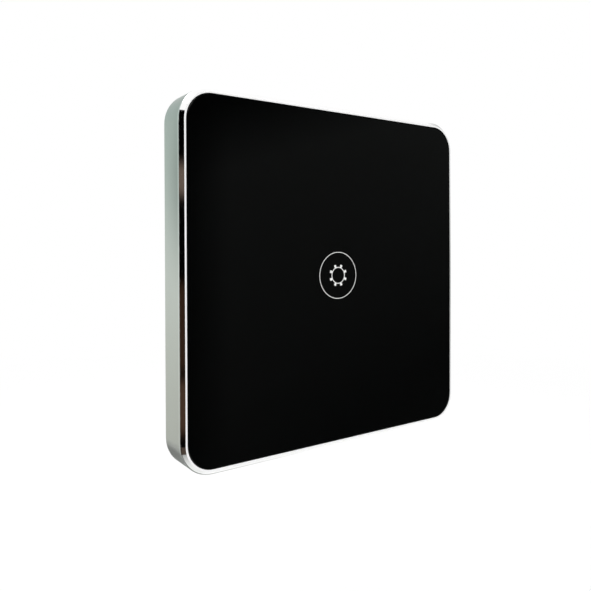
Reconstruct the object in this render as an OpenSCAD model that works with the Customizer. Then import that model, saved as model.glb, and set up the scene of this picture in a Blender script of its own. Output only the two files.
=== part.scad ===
// Touch light switch: a glass front in an aluminium frame, which pushes onto a
// wall module with a steel yoke, a touch board and a relay board with terminals.
// Millimetres. X is right, Y goes into the wall, Z is up. The origin is the middle
// of the wall plane, halfway between the wall screws.
// Pieces are drawn lying on their backs, with x right, y up and z out of the wall,
// and on_wall() then stands them up.

/* [Front frame] */
// Outer width and height of the aluminium frame
frame_w = 86; // [84:0.5:100]
// Radius of the frame's outer corners
frame_r = 7.6; // [6:0.1:12]
// Width of the flat lip round the glass
frame_lip = 0.44; // [0.3:0.02:1.2]
// Width and depth of the polished chamfer
frame_chamfer = 0.9; // [0.4:0.1:1.6]
// How far the ledge behind the glass reaches inwards
ledge_w = 2.2; // [1.6:0.1:3.5]
// Thickness of that ledge
ledge_t = 1.2; // [0.8:0.1:2]

/* [Glass panel] */
// Thickness of the glass
glass_t = 3; // [2:0.1:5]
// Gap between the glass and the frame on each side
glass_gap = 0.07; // [0.03:0.01:0.3]
// Ground bevel on the glass's front edge
glass_bevel = 0.25; // [0.1:0.05:0.6]
// Seam on the glass's back edge
glass_seam = 0.1; // [0.05:0.05:0.3]
// How far the glass lies behind the lip
glass_sink = 0.05; // [0:0.05:0.5]
// Thickness of the foam tape that holds the glass
tape_t = 0.3; // [0.2:0.1:1]
// Margin of the tape to each edge of the ledge
tape_margin = 0.3; // [0.1:0.1:0.6]
// Radius of the milky disc behind the mark
diffuser_r = 6.8; // [5.5:0.1:8]
// Thickness of that disc
diffuser_t = 0.5; // [0.3:0.1:1]

/* [Panel carrier] */
// Thickness of the carrier plate
carrier_t = 1.3; // [1:0.1:2]
// Gap between the carrier and the frame on each side
carrier_gap = 0.15; // [0.05:0.05:0.4]
// Free strip between the inner cover and the carrier's opening
carrier_room = 3.5; // [2:0.1:4.5]
// Room between the carrier and the inner cover behind it
stack_gap = 0.5; // [0.3:0.1:1.5]
// Width of the four arms that hold the light collar
arm_w = 3; // [2:0.5:5]
// Arm faces, set back from the carrier's faces
arm_set = 0.2; // [0.1:0.05:0.3]
// Gap between the milky disc and the light collar round it
collar_gap = 0.2; // [0.1:0.1:0.6]
// Wall of the light collar
collar_wall = 1.2; // [0.8:0.1:2]
// Radius of the push studs
stud_r = 1.7; // [1.3:0.1:2.2]
// Radial play of a stud in its collar
stud_play = 0.05; // [0.03:0.01:0.1]
// Distance of the studs from the edge of the carrier's opening
stud_margin = 2.5; // [2.3:0.1:4]
// Width of the slit that splits a stud
stud_slit = 0.8; // [0.5:0.1:1.2]
// Cone at the tip of a stud
stud_lead = 0.4; // [0.2:0.1:0.8]
// Thickness of the stiffening rib behind the carrier
rib_t = 1.2; // [0.8:0.1:2]
// Depth of that rib
rib_drop = 1.8; // [1:0.1:2.2]
// Gussets between that rib and the carrier's edge, on each side
gusset_n = 5; // [3:1:7]
// Thickness of a gusset
gusset_t = 1; // [0.8:0.1:1.4]
// Depth of a gusset
gusset_drop = 1.2; // [0.6:0.1:1.8]

/* [Mounting yoke] */
// Distance between two opposite wall screws
wall_pitch = 60; // [58:0.1:62]
// Width of the wall screw slots
slot_w = 4.1; // [3.6:0.1:4.6]
// Length of the wall screw slots
slot_len = 7.5; // [6:0.1:8]
// Free radius round a wall screw for its head
wall_head_r = 3.6; // [3:0.1:4.2]
// Thickness of the steel plate
yoke_t = 1.2; // [1:0.1:2]
// Steel outside the stud collars
yoke_margin = 4.5; // [3.5:0.1:5]
// Steel outside the wall screw slots
slot_margin = 2; // [1.5:0.1:2.2]
// Length of the stiffening beads pressed into the plate
bead_l = 14; // [8:0.5:15]
// Radius of a bead's section
bead_r = 1.2; // [1:0.1:1.6]
// Height of a bead over the plate
bead_h = 0.5; // [0.3:0.05:0.7]
// Radius of the plate's corners
yoke_r = 4; // [2:0.5:6]
// Wall of the stud collars drawn up from the plate
burr_wall = 0.8; // [0.5:0.1:1.2]
// Gap between a stud collar and the carrier
burr_room = 0.25; // [0.2:0.05:0.6]

/* [Back housing] */
// Width and height of the box behind the yoke
housing_w = 48; // [47:0.5:50]
// Radius of the box's upright edges
housing_r = 8; // [7:0.5:9]
// Wall of the box
housing_wall = 1.8; // [1.5:0.1:2.1]
// Chamfer round the box's back
housing_chamfer = 1; // [0.5:0.1:1.2]
// Chamfer round the box's mouth
mouth_chamfer = 0.2; // [0.1:0.1:0.4]
// Distance of the corner bosses from both middle lines
boss_at = 17; // [16.6:0.1:17.4]
// Radius of the corner bosses
boss_r = 2.9; // [2.5:0.1:3.2]
// Thickness of the gussets and support ribs
web_t = 1.4; // [1:0.1:1.8]
// How far the support ribs stand out from the wall
web_depth = 1.6; // [1.2:0.1:1.8]
// Distance of the support ribs from the middle line
web_at = 12; // [11:0.1:12.4]
// Room behind the tallest part on the power board
back_room = 0.7; // [0.5:0.1:3]
// Free margin of a wire window round the clamp's mouth
window_margin = 0.3; // [0.2:0.1:0.5]
// Free margin of a screwdriver hole round the screw's way in
driver_margin = 0.3; // [0.2:0.1:0.6]
// Countersink of the screwdriver holes
driver_sink = 0.7; // [0.4:0.1:1]
// Thickness of the fins between the wire windows
fin_t = 0.9; // [0.7:0.1:1.2]
// How far those fins stand out from the box
fin_out = 1.2; // [0.8:0.1:2]
// How far those fins run past the windows at both ends
fin_past = 2; // [1:0.1:3]
// Vent slots in each of two columns on the back
vent_n = 5; // [3:1:6]
// Length of a vent slot
vent_l = 12; // [8:0.5:14]
// Width of a vent slot
vent_w = 1.4; // [1:0.1:1.8]
// Distance between neighbouring vent slots
vent_pitch = 3.4; // [3:0.1:4]

/* [Inner cover] */
// Gap between the cover's tray and the box and yoke round it
tray_gap = 0.3; // [0.2:0.05:0.6]
// Play of the tray in the yoke's opening
yoke_play = 0.2; // [0.1:0.05:0.25]
// Wall of the tray
tray_wall = 1.3; // [1:0.1:1.8]
// Floor of the tray
tray_floor_t = 1.2; // [1:0.1:2]
// How far the flange reaches over the yoke
flange_w = 3.6; // [3:0.1:4]
// Thickness of the flange
flange_t = 1.2; // [0.8:0.1:2]
// Height of the pads that hold the power board down
pad_h = 1.8; // [1.4:0.1:4]
// Radius of those pads
pad_r = 1.5; // [1:0.1:2]

/* [Boards] */
// Thickness of both boards
board_t = 1.6; // [1:0.1:2]
// Gap between a board and the wall round it
board_gap = 0.4; // [0.2:0.1:0.8]
// Depth of the touch board's front behind the wall plane
touch_sink = 0.4; // [0:0.1:2]
// Height of the posts under the touch board
post_h = 2; // [1.8:0.1:4]
// Radius of those posts
post_r = 2.2; // [1.8:0.1:2.6]
// Distance of the posts from the middle
post_at = 17; // [15:0.1:17.5]
// Play round every wire or pin that passes a board or a base
lead_play = 0.15; // [0.1:0.05:0.25]
// Distance between two link pins
pin_pitch = 2.54; // [2:0.02:2.6]
// Width of a link pin
pin_w = 0.64; // [0.5:0.02:0.8]
// How far leads stand out past a board
lead_tail = 0.9; // [0.5:0.1:1.2]
// Width of the link's plastic bar
bar_w = 2.5; // [1.6:0.1:3]

/* [Screws] */
// Shank radius of the housing screws
hscrew_r = 1.1; // [0.9:0.05:1.3]
// Length of their shanks
hscrew_l = 8; // [6:0.5:10]
// Head radius of the housing screws
hscrew_head_r = 2; // [1.6:0.1:2.3]
// Head height of the housing screws
hscrew_head_h = 1.4; // [1:0.1:1.6]
// Shank radius of the board screws
bscrew_r = 0.8; // [0.6:0.05:1]
// Length of their shanks
bscrew_l = 3.4; // [2.4:0.1:3.6]
// Head radius of the board screws
bscrew_head_r = 1.7; // [1.4:0.1:2]
// Head height of the board screws
bscrew_head_h = 1.2; // [0.8:0.1:1.6]
// Radial play of a screw in its hole
screw_play = 0.05; // [0.03:0.01:0.1]
// Width of the driver slots in all screw heads
driver_w = 0.6; // [0.4:0.1:0.8]
// Depth of those slots
driver_d = 0.6; // [0.4:0.1:0.8]

/* [Touch side] */
// Mean radius of the touch spring
spring_r = 4.5; // [3.5:0.1:5.5]
// Wire diameter of the touch spring
spring_wire = 0.6; // [0.4:0.05:0.8]
// Bend radius of the spring's foot
spring_bend = 0.8; // [0.6:0.1:1.2]
// Least gap between two turns
spring_gap = 0.45; // [0.42:0.01:1]
// Gap between the spring and the milky disc
spring_room = 0.1; // [0.05:0.05:0.3]
// Length of an indicator lamp
led_l = 2; // [1.2:0.1:2.6]
// Width of an indicator lamp
led_w = 1.25; // [0.8:0.05:1.6]
// Height of an indicator lamp
led_h = 0.8; // [0.5:0.1:1]
// Distance of each lamp from the middle
led_at = 1.4; // [0.9:0.1:2]
// Length and width of the touch chip
chip_size = [4.9, 3.9]; // [3:0.1:6]
// Height of the touch chip
chip_h = 1.45; // [1:0.05:1.6]
// Place of the touch chip on its board
chip_at = [8, 9]; // [5:0.5:11]
// Length, width and height of a small passive part
passive_size = [2, 1.25, 0.6]; // [0.5:0.05:2.4]
// Distance between two small passive parts
passive_step = 3.2; // [2.6:0.1:3.4]
// Place of the middle of their row
passive_at = [-8, 9]; // [-10:0.5:10]

/* [Relay] */
// Length, width and height of the relay
relay_size = [19, 15.4, 15.3]; // [12:0.1:22]
// Wall of the relay's case
relay_wall = 0.8; // [0.6:0.1:1]
// Thickness of the relay's base
relay_base_t = 2; // [1.5:0.1:2.5]
// Thickness of the iron frame
iron_t = 1.2; // [1:0.1:1.5]
// Width of the iron frame
iron_w = 10; // [8:0.1:10.2]
// Distance from the rocking edge to the core
core_reach = 6.1; // [5.9:0.1:6.5]
// Radius of the core
core_r = 1.5; // [1.2:0.1:1.8]
// Radius of the core's pole face
pole_r = 2.4; // [2:0.1:2.6]
// Thickness of the pole face
pole_t = 0.5; // [0.4:0.1:0.8]
// Height of the coil former
bobbin_h = 7.6; // [6.5:0.1:7.8]
// Radius of the former's flanges
bobbin_r = 4.4; // [3.8:0.1:4.5]
// Thickness of those flanges and wall of the former
bobbin_wall = 0.6; // [0.4:0.1:0.8]
// Gap between the armature and the pole face when released
armature_gap = 0.75; // [0.7:0.05:0.9]
// Thickness of the armature
armature_t = 1; // [0.8:0.1:1.2]
// Radius of the rounded rocking edge
edge_r = 0.35; // [0.25:0.05:0.45]
// Thickness of the contact leaf
leaf_t = 0.25; // [0.2:0.05:0.3]
// Distance from the rocking edge to the contact
contact_reach = 12.4; // [12.2:0.1:12.6]
// Gap between the open contacts
contact_gap = 1.2; // [1.15:0.05:1.4]
// Radius of the contact buttons
contact_r = 1.1; // [0.8:0.1:1.2]
// Height of the moving contact button
contact_h = 0.8; // [0.6:0.1:1]
// Gap between the fixed contact's strip and the end of the case
strip_room = 1.3; // [0.8:0.1:1.6]

/* [Power parts] */
// Free gap between neighbouring parts
part_gap = 1.5; // [1.2:0.1:2]
// Gap between parts that stand close together
close_gap = 0.35; // [0.25:0.05:0.5]
// Gap between the parts and the wall of the box
wall_room = 1.2; // [0.8:0.1:1.6]
// Width of the transformer, both ways
trafo_w = 13.5; // [11:0.1:14.5]
// Height of the transformer's ferrite core
ferrite_h = 11; // [9:0.1:12]
// Depth of the ferrite core
ferrite_d = 6.2; // [5:0.1:7]
// Width of the core's outer legs
ferrite_leg = 2.6; // [2:0.1:3]
// Height of the transformer's foot
trafo_foot = 2; // [1.5:0.1:2.5]
// Length, width and height of the film capacitor
film_size = [13, 6, 12]; // [5:0.1:14]
// Radius of the smoothing capacitor
can_r = 4; // [3:0.1:4.3]
// Height of the smoothing capacitor
can_h = 12; // [9:0.5:14]
// Radius of the varistor disc
varistor_r = 4.5; // [3.5:0.1:5]
// Thickness of the varistor disc
varistor_t = 4; // [3:0.1:5]
// Radius of the fuse
fuse_r = 4.25; // [3.5:0.05:4.3]
// Height of the fuse
fuse_h = 7.7; // [6:0.1:9]
// Length, width and height of the rectifier
rectifier_size = [4.7, 3.9, 2.5]; // [2:0.1:6]

/* [Terminals] */
// Distance between two poles
pole_pitch = 7.5; // [7.3:0.05:8]
// Free width of a clamp cage
cage_in = 4.8; // [4.2:0.1:4.9]
// Free height under the tongue for the wire
wire_room = 4.6; // [4.2:0.1:5.2]
// Side wall of a clamp cage
cage_wall = 0.7; // [0.5:0.05:0.75]
// Floor of a clamp cage
cage_floor = 0.9; // [0.7:0.1:1.2]
// Threaded top of a clamp cage
cage_top = 1.6; // [1.2:0.1:2]
// Length of a clamp cage along the wire
cage_l = 5.6; // [5:0.1:6.5]
// How far a clamp cage rises
clamp_travel = 2.5; // [1.5:0.1:2.8]
// Running gap round a clamp cage
cage_gap = 0.2; // [0.15:0.05:0.25]
// Thickness of the brass tongue
tongue_t = 0.9; // [0.7:0.05:1.1]
// Width of the brass tongue
tongue_w = 4; // [3.2:0.1:4.1]
// Shank radius of a terminal screw
tscrew_r = 1.45; // [1.2:0.05:1.5]
// Head radius of a terminal screw
tscrew_head_r = 2.3; // [2:0.1:2.5]
// Head height of a terminal screw
tscrew_head_h = 1.8; // [1.4:0.1:2.2]
// Outer walls and floor of the terminal body
terminal_wall = 1.2; // [1:0.1:1.5]
// Lip of the body that keeps the screw heads in
keeper_w = 0.5; // [0.3:0.1:0.7]

/* [Hidden] */
$fn = 64;
// Overlap of a cut past the face that it opens
cut = 1;
// Depth that fused shapes share
weld = 0.2;

// Levels of the stack, counted out of the wall
cover_front = yoke_t + flange_t;
carrier_back = cover_front + stack_gap;
ledge_back = carrier_back + carrier_t;
ledge_front = ledge_back + ledge_t;
glass_back = ledge_front + tape_t;
glass_front = glass_back + glass_t;
frame_d = glass_front + glass_sink;
touch_front = -touch_sink;
touch_back = touch_front - board_t;
tray_floor = touch_back - post_h;
tray_back = tray_floor - tray_floor_t;
power_front = tray_back - pad_h;
power_back = power_front - board_t;

// Half widths and corner radii, from the outside in
frame_wall = frame_lip + frame_chamfer;
frame_half = frame_w / 2;
pocket_half = frame_half - frame_wall;
pocket_r = frame_r - frame_wall;
inner_half = housing_w / 2 - housing_wall;
inner_r = housing_r - housing_wall;
tray_half = inner_half - tray_gap;
tray_r = inner_r - tray_gap;
cover_half = tray_half + flange_w;
cover_r = tray_r + flange_w;
open_half = cover_half + carrier_room;
open_r = cover_r;
stud_at = open_half + stud_margin;
yoke_half = max(stud_at + yoke_margin, wall_pitch / 2 + slot_len / 2 + slot_margin);
board_half = inner_half - board_gap;
touch_half = tray_half - tray_wall - board_gap;
touch_r = tray_r - tray_wall - board_gap;
collar_in = diffuser_r + collar_gap;
collar_r = collar_in + collar_wall;

// Terminal heights, counted from the power board towards the back
cage_rest = terminal_wall + cage_gap;
cage_open = cage_rest + cage_floor;
tongue_low = cage_open + wire_room;
tongue_high = tongue_low + tongue_t;
cage_roof = tongue_high + 2 * cage_gap;
cage_high = cage_roof + cage_top;
chamber_h = cage_high + clamp_travel + cage_gap;
head_high = chamber_h + tscrew_head_h;
terminal_h = head_high + cage_gap + terminal_wall;
// Terminal depths, counted from the body's face inwards
cage_face = terminal_wall + cage_gap;
tongue_back = cage_face + cage_l + 2 * cage_gap;
chamber_back = tongue_back + tongue_t + cage_gap;
terminal_d = chamber_back + terminal_wall;
terminal_face = -inner_half + tray_gap;
terminal_top = terminal_face + terminal_d;
terminal_half = pole_pitch + cage_in / 2 + cage_wall + cage_gap + terminal_wall;
screw_y = terminal_face + cage_face + cage_l / 2;
chamber_w = cage_in + 2 * cage_wall + 2 * cage_gap;
driver_r = tscrew_head_r - keeper_w;
window_w = cage_in + 2 * window_margin;
window_h = wire_room + 2 * window_margin;
tongue_pin_y = terminal_face + tongue_back + tongue_t / 2;
tongue_pin_w = 1;

// Places on the power board
housing_d = -power_back + max(terminal_h, relay_size.z) + back_room + housing_wall;
floor_z = -housing_d + housing_wall;
relay_left = -inner_half + wall_room;
trafo_left = relay_left + relay_size.x + part_gap;
can_at = [-boss_at + boss_r + part_gap + can_r, relay_size.y / 2 + wall_room + can_r];
film_left = can_at.x + can_r + part_gap;
film_low = inner_half - wall_room - film_size.y;
varistor_at = [film_left + varistor_r, (relay_size.y / 2 + film_low) / 2];
rib_room = web_depth + close_gap;
rectifier_at = [
    -inner_half + rib_room + rectifier_size.x / 2,
    relay_size.y / 2 + part_gap + rectifier_size.y / 2
];
header_y = (terminal_top - relay_size.y / 2) / 2;
trafo_y = header_y + pin_w / 2 + close_gap + trafo_w / 2;
fuse_at = [inner_half - rib_room - fuse_r, trafo_y + trafo_w / 2 + close_gap + fuse_r];
pin_n = 4;
header_x = [for (i = [0:pin_n - 1]) (i - (pin_n - 1) / 2) * pin_pitch];
middle_leg = 1.4 * ferrite_leg;

// Relay heights from the power board, and lengths from the relay's left end
relay_seat = 0.2;
iron_room = 0.4;
com_room = 2.5;
pin_room = 0.2;
pin_shift = 2;
iron_low = relay_seat + relay_base_t;
bobbin_low = iron_low + iron_t;
pole_low = bobbin_low + bobbin_h;
armature_low = pole_low + pole_t + armature_gap;
leaf_low = armature_low + armature_t;
fixed_top = leaf_low - contact_h - contact_gap;
iron_left = relay_wall + iron_room;
edge_x = iron_left + iron_t / 2;
core_x = edge_x + core_reach;
contact_x = edge_x + contact_reach;
strip_t = 0.5;
strip_w = 4;
strip_x = relay_size.x - relay_wall - strip_room - strip_t;
relay_pin_w = 0.8;
com_pin_x = core_x + core_r + com_room;
coil_pin_r = 0.4;
coil_pin_y = iron_w / 2 + coil_pin_r + pin_room;
coil_pin_x = core_x + pin_shift;

// Touch spring: foot, bend and turns
spring_low = touch_front + spring_wire + spring_bend;
spring_top = glass_back - diffuser_t - spring_room - spring_wire / 2;
spring_turns = max(1, floor(2 * (spring_top - spring_low) / (spring_wire + spring_gap)) / 2);
spring_pitch = (spring_top - spring_low) / spring_turns;
ring_sides = 6;
turn_rings = 8;

function spring_foot() = [
    [[spring_r, -spring_bend, touch_back - lead_tail], [0, 0, 1], [1, 0, 0]],
    [[spring_r, -spring_bend, spring_low - spring_bend], [0, 0, 1], [1, 0, 0]],
    for (a = [30, 60, 90]) [
        [spring_r, -spring_bend * cos(a), spring_low - spring_bend * (1 - sin(a))],
        [0, sin(a), cos(a)],
        [1, 0, 0]
    ]
];
function spring_coil() = [
    for (i = [1:round(spring_turns * turn_rings)])
        let (a = i * 360 / turn_rings, rise = spring_pitch / (2 * PI * spring_r), run = norm([1, rise]))
            [
                [spring_r * cos(a), spring_r * sin(a), spring_low + spring_pitch * a / 360],
                [-sin(a), cos(a), rise] / run,
                [cos(a), sin(a), 0]
            ]
];
spring_path = concat(spring_foot(), spring_coil());
spring_points = [
    for (p = spring_path, s = [0:ring_sides - 1])
        let (a = s * 360 / ring_sides)
            p[0] + spring_wire / 2 * (cos(a) * p[2] + sin(a) * cross(p[1], p[2]))
];
spring_ends = len(spring_points) - ring_sides;
spring_faces = concat(
    [for (s = [1:ring_sides - 2]) [0, s, s + 1]],
    [for (s = [1:ring_sides - 2]) [spring_ends, spring_ends + s + 1, spring_ends + s]],
    [
        for (i = [0:len(spring_path) - 2], s = [0:ring_sides - 1], half = [0, 1])
            let (
                a = i * ring_sides + s,
                b = i * ring_sides + (s + 1) % ring_sides
            )
                half == 0 ? [a, a + ring_sides, b] : [b, a + ring_sides, b + ring_sides]
    ]
);
spring_least = min([
    for (i = [0:len(spring_path) - 1], j = [i + turn_rings - 2:1:len(spring_path) - 1])
        norm(spring_path[i][0] - spring_path[j][0]) - spring_wire
]);
echo(least_gap_in_touch_spring = spring_least);

// Stands a piece up: z out of the wall becomes -Y, y becomes Z.
module on_wall() {
    rotate([90, 0, 0]) children();
}

// Parts behind the power board, drawn with z away from the board.
module on_power_board() {
    on_wall() translate([0, 0, power_back]) mirror([0, 0, 1]) children();
}

// Relay pieces, drawn from the relay's left end.
module in_relay() {
    on_power_board() translate([relay_left, 0, 0]) children();
}

// Terminal pieces, drawn from the middle of the body's face.
module in_terminal() {
    on_power_board() translate([0, terminal_face, 0]) children();
}

module at_corners(at) {
    for (x = [-at, at], y = [-at, at]) translate([x, y, 0]) children();
}

module four_ways() {
    for (turn = [0:90:270]) rotate(turn) children();
}

module rounded(half, r) {
    square([2 * half, 2 * (half - r)], center = true);
    square([2 * (half - r), 2 * half], center = true);
    at_corners(half - r) circle(r);
}

module slab(half, r, t) {
    linear_extrude(t) rounded(half, r);
}

module ring_slab(half, r, width, t) {
    linear_extrude(t) difference() {
        rounded(half, r);
        rounded(half - width, r - width);
    }
}

// Runs a profile round a square with round corners. Its x counts from the corner's centre.
module swept(half, r) {
    four_ways() {
        translate([half - r, 0, 0]) rotate([90, 0, 0])
            linear_extrude(2 * (half - r), center = true) children();
        translate([half - r, half - r, 0]) rotate_extrude(angle = 90) children();
    }
}

// Square block with round corners and a chamfer at its back and front edges.
module bevelled_block(half, r, low, high, low_cut, high_cut) {
    swept(half, r) polygon([
        [0, low],
        [r - low_cut, low],
        [r, low + low_cut],
        [r, high - high_cut],
        [r - high_cut, high],
        [0, high]
    ]);
    translate([0, 0, low]) linear_extrude(high - low) square(2 * (half - r), center = true);
}

module slot_outline(length, width) {
    square([length - width, width], center = true);
    for (x = [-1, 1]) translate([x * (length - width) / 2, 0]) circle(d = width);
}

// Box whose x and y are centred and whose z starts at zero.
module block(size) {
    translate([-size.x / 2, -size.y / 2, 0]) cube(size);
}

// Pan head screw with a cross slot. Its shank points down from z = 0.
module pan_screw(shank_r, shank_l, head_r, head_h) {
    crown_r = 0.75 * head_r;
    slot_l = 1.2 * head_r;
    translate([0, 0, -shank_l]) cylinder(r = shank_r, h = shank_l + weld);
    difference() {
        union() {
            cylinder(r = head_r, h = head_h / 2);
            translate([0, 0, head_h / 2]) cylinder(r1 = head_r, r2 = crown_r, h = head_h / 2);
        }
        for (turn = [0, 90])
            rotate(turn) translate([0, 0, head_h - driver_d]) block([slot_l, driver_w, driver_d + cut]);
    }
}

module bezel_frame() {
    color("#c4c8c5") on_wall() swept(frame_half, frame_r) polygon([
        [frame_r, 0],
        [frame_r, frame_d - frame_chamfer],
        [frame_r - frame_chamfer, frame_d],
        [pocket_r, frame_d],
        [pocket_r, ledge_front],
        [pocket_r - ledge_w, ledge_front],
        [pocket_r - ledge_w, ledge_back],
        [pocket_r, ledge_back],
        [pocket_r, 0]
    ]);
}

module glass_panel() {
    half = pocket_half - glass_gap;
    color("#050606") on_wall()
        bevelled_block(half, pocket_r - glass_gap, glass_back, glass_front, glass_seam, glass_bevel);
}

module adhesive_tape() {
    color("#2b2c2e") on_wall() translate([0, 0, ledge_front])
        ring_slab(pocket_half - tape_margin, pocket_r - tape_margin, ledge_w - 2 * tape_margin, tape_t);
}

// Where the heads of the wall screws need room, seen from the front.
module head_room() {
    four_ways() translate([wall_pitch / 2, 0])
        slot_outline(slot_len - slot_w + 2 * wall_head_r, 2 * wall_head_r);
}

module push_stud() {
    tip = burr_room;
    difference() {
        union() {
            translate([0, 0, tip]) cylinder(r1 = stud_r - stud_lead, r2 = stud_r, h = stud_lead);
            translate([0, 0, tip + stud_lead])
                cylinder(r = stud_r, h = carrier_back - tip - stud_lead + weld);
        }
        block([stud_slit, 2 * stud_r + cut, carrier_back - tip]);
    }
}

module panel_carrier() {
    rib_half = (yoke_half + pocket_half + rib_t) / 2;
    arm_end = sqrt(2) * (open_half - open_r) + open_r + cut;
    gusset_step = 2 * (pocket_half - pocket_r) / gusset_n;
    color("#1d1f21") on_wall() {
        translate([0, 0, carrier_back]) linear_extrude(carrier_t) difference() {
            rounded(pocket_half - carrier_gap, pocket_r - carrier_gap);
            rounded(open_half, open_r);
            head_room();
        }
        translate([0, 0, carrier_back - rib_drop])
            ring_slab(rib_half, pocket_r, rib_t, rib_drop + weld);
        rotate(45) four_ways()
            translate([collar_in + collar_wall / 2, -arm_w / 2, carrier_back + arm_set])
            cube([arm_end - collar_in - collar_wall / 2, arm_w, carrier_t - 2 * arm_set]);
        difference() {
            translate([0, 0, touch_front + stack_gap])
                cylinder(r = collar_r, h = glass_back - touch_front - stack_gap - collar_gap);
            translate([0, 0, touch_front]) cylinder(r = collar_in, h = glass_back - touch_front + cut);
        }
        at_corners(stud_at) push_stud();
        four_ways() for (i = [0:gusset_n - 1])
            translate([rib_half - weld, (i - (gusset_n - 1) / 2) * gusset_step - gusset_t / 2, 0])
            translate([0, 0, carrier_back - gusset_drop])
            cube([pocket_half - carrier_gap - rib_half, gusset_t, gusset_drop + weld]);
    }
}

module light_diffuser() {
    color("#eef0ee") on_wall() translate([0, 0, glass_back - diffuser_t])
        cylinder(r = diffuser_r, h = diffuser_t);
}

// Round-ended bar along y, for the stiffening beads: its middle lies below the face that it lifts.
module bead() {
    translate([0, 0, bead_h - bead_r]) {
        rotate([90, 0, 0]) cylinder(r = bead_r, h = bead_l, center = true);
        for (y = [-bead_l / 2, bead_l / 2]) translate([0, y, 0]) sphere(bead_r);
    }
}

module at_beads() {
    along = (slot_w / 2 + wall_head_r + stud_at) / 2;
    four_ways() for (y = [-along, along]) translate([stud_at, y, 0]) children();
}

module mounting_yoke() {
    burr_r = stud_r + stud_play;
    color("#aeb3b6") on_wall() difference() {
        union() {
            slab(yoke_half, yoke_r, yoke_t);
            at_corners(stud_at) cylinder(r = burr_r + burr_wall, h = carrier_back - burr_room);
            at_beads() translate([0, 0, yoke_t]) bead();
        }
        at_beads() bead();
        translate([0, 0, -cut]) linear_extrude(yoke_t + 2 * cut) {
            rounded(tray_half + yoke_play, tray_r + yoke_play);
            four_ways() translate([wall_pitch / 2, 0]) slot_outline(slot_len, slot_w);
        }
        at_corners(stud_at) translate([0, 0, -cut]) cylinder(r = burr_r, h = carrier_back + cut);
    }
}

module inner_cover() {
    tray_in = tray_half - tray_wall;
    color("#d9dad4") on_wall() {
        difference() {
            union() {
                translate([0, 0, yoke_t]) slab(cover_half, cover_r, flange_t);
                translate([0, 0, tray_back]) slab(tray_half, tray_r, cover_front - tray_back);
                four_ways() translate([post_at, 0, power_front]) cylinder(r = pad_r, h = pad_h + weld);
            }
            translate([0, 0, tray_floor]) slab(tray_in, tray_r - tray_wall, cover_front - tray_floor + cut);
            at_corners(boss_at) translate([0, 0, tray_back - cut])
                cylinder(r = hscrew_r + screw_play, h = tray_floor_t + 2 * cut);
            translate([0, header_y, tray_back - cut])
                block([pin_n * pin_pitch + 2 * lead_play, bar_w + 2 * lead_play, tray_floor_t + 2 * cut]);
        }
        four_ways() translate([post_at, 0, tray_floor - weld]) difference() {
            cylinder(r = post_r, h = post_h + weld);
            cylinder(r = bscrew_r + screw_play, h = post_h + cut);
        }
    }
}

module back_housing() {
    corner_reach = sqrt(2) * (inner_half - inner_r) + inner_r + weld;
    vent_x = inner_half / 2;
    vent_y = boss_at - boss_r;
    window_low = power_back - tongue_low - window_margin;
    color("#e4e5e0") on_wall() {
        difference() {
            bevelled_block(housing_w / 2, housing_r, -housing_d, 0, housing_chamfer, mouth_chamfer);
            translate([0, 0, floor_z]) slab(inner_half, inner_r, housing_d + cut);
            for (x = [-pole_pitch, 0, pole_pitch]) {
                translate([x, screw_y, floor_z - housing_wall - cut])
                    cylinder(r = driver_r + driver_margin, h = housing_wall + 2 * cut);
                translate([x, screw_y, -housing_d - cut]) cylinder(
                    r1 = driver_r + driver_margin + driver_sink + cut,
                    r2 = driver_r + driver_margin,
                    h = driver_sink + cut
                );
                translate([x, -inner_half - housing_wall / 2, window_low])
                    block([window_w, housing_wall + 2 * cut, window_h]);
            }
            for (x = [-vent_x, vent_x], i = [0:vent_n - 1])
                translate([x, vent_y - i * vent_pitch, -housing_d - cut])
                linear_extrude(housing_wall + 2 * cut) slot_outline(vent_l, vent_w);
        }
        for (i = [-1.5:1:1.5])
            translate([i * pole_pitch - fin_t / 2, -housing_w / 2 - fin_out, window_low - fin_past])
            cube([fin_t, fin_out + weld, window_h + 2 * fin_past]);
        at_corners(boss_at) difference() {
            translate([0, 0, floor_z - weld]) cylinder(r = boss_r, h = tray_back - floor_z + weld);
            translate([0, 0, tray_back - hscrew_l]) cylinder(r = hscrew_r + screw_play, h = hscrew_l + cut);
        }
        rotate(45) four_ways()
            translate([sqrt(2) * boss_at + boss_r - weld, -web_t / 2, floor_z - weld])
                cube([corner_reach - sqrt(2) * boss_at - boss_r + weld, web_t, tray_back - floor_z + weld]);
        for (side = [0, 90, 180], along = [-web_at, web_at])
            rotate(side) translate([inner_half - web_depth, along - web_t / 2, floor_z - weld])
                cube([web_depth + weld, web_t, power_back - floor_z + weld]);
    }
}

module housing_screws() {
    color("#c9b36a") on_wall() at_corners(boss_at) translate([0, 0, tray_floor])
        pan_screw(hscrew_r, hscrew_l, hscrew_head_r, hscrew_head_h);
}

module touch_board() {
    color("#1f5a3a") on_wall() translate([0, 0, touch_back]) linear_extrude(board_t) difference() {
        rounded(touch_half, touch_r);
        for (x = [-post_at, post_at]) translate([x, 0]) circle(bscrew_r + screw_play);
        for (x = header_x) translate([x, header_y]) circle(pin_w / sqrt(2) + lead_play);
        translate([spring_r, -spring_bend]) circle(spring_wire / 2 + lead_play);
    }
}

module board_screws() {
    color("#c9b36a") on_wall() for (x = [-post_at, post_at]) translate([x, 0, touch_front])
        pan_screw(bscrew_r, bscrew_l, bscrew_head_r, bscrew_head_h);
}

module touch_spring() {
    color("#d8d3c4") on_wall() polyhedron(spring_points, spring_faces);
}

module indicator_leds() {
    lens_l = 0.6 * led_l;
    color("#f3f1d8") on_wall() for (y = [-led_at, led_at]) translate([0, y, touch_front]) {
        block([led_l, led_w, led_h / 2]);
        block([lens_l, led_w, led_h]);
    }
}

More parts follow.
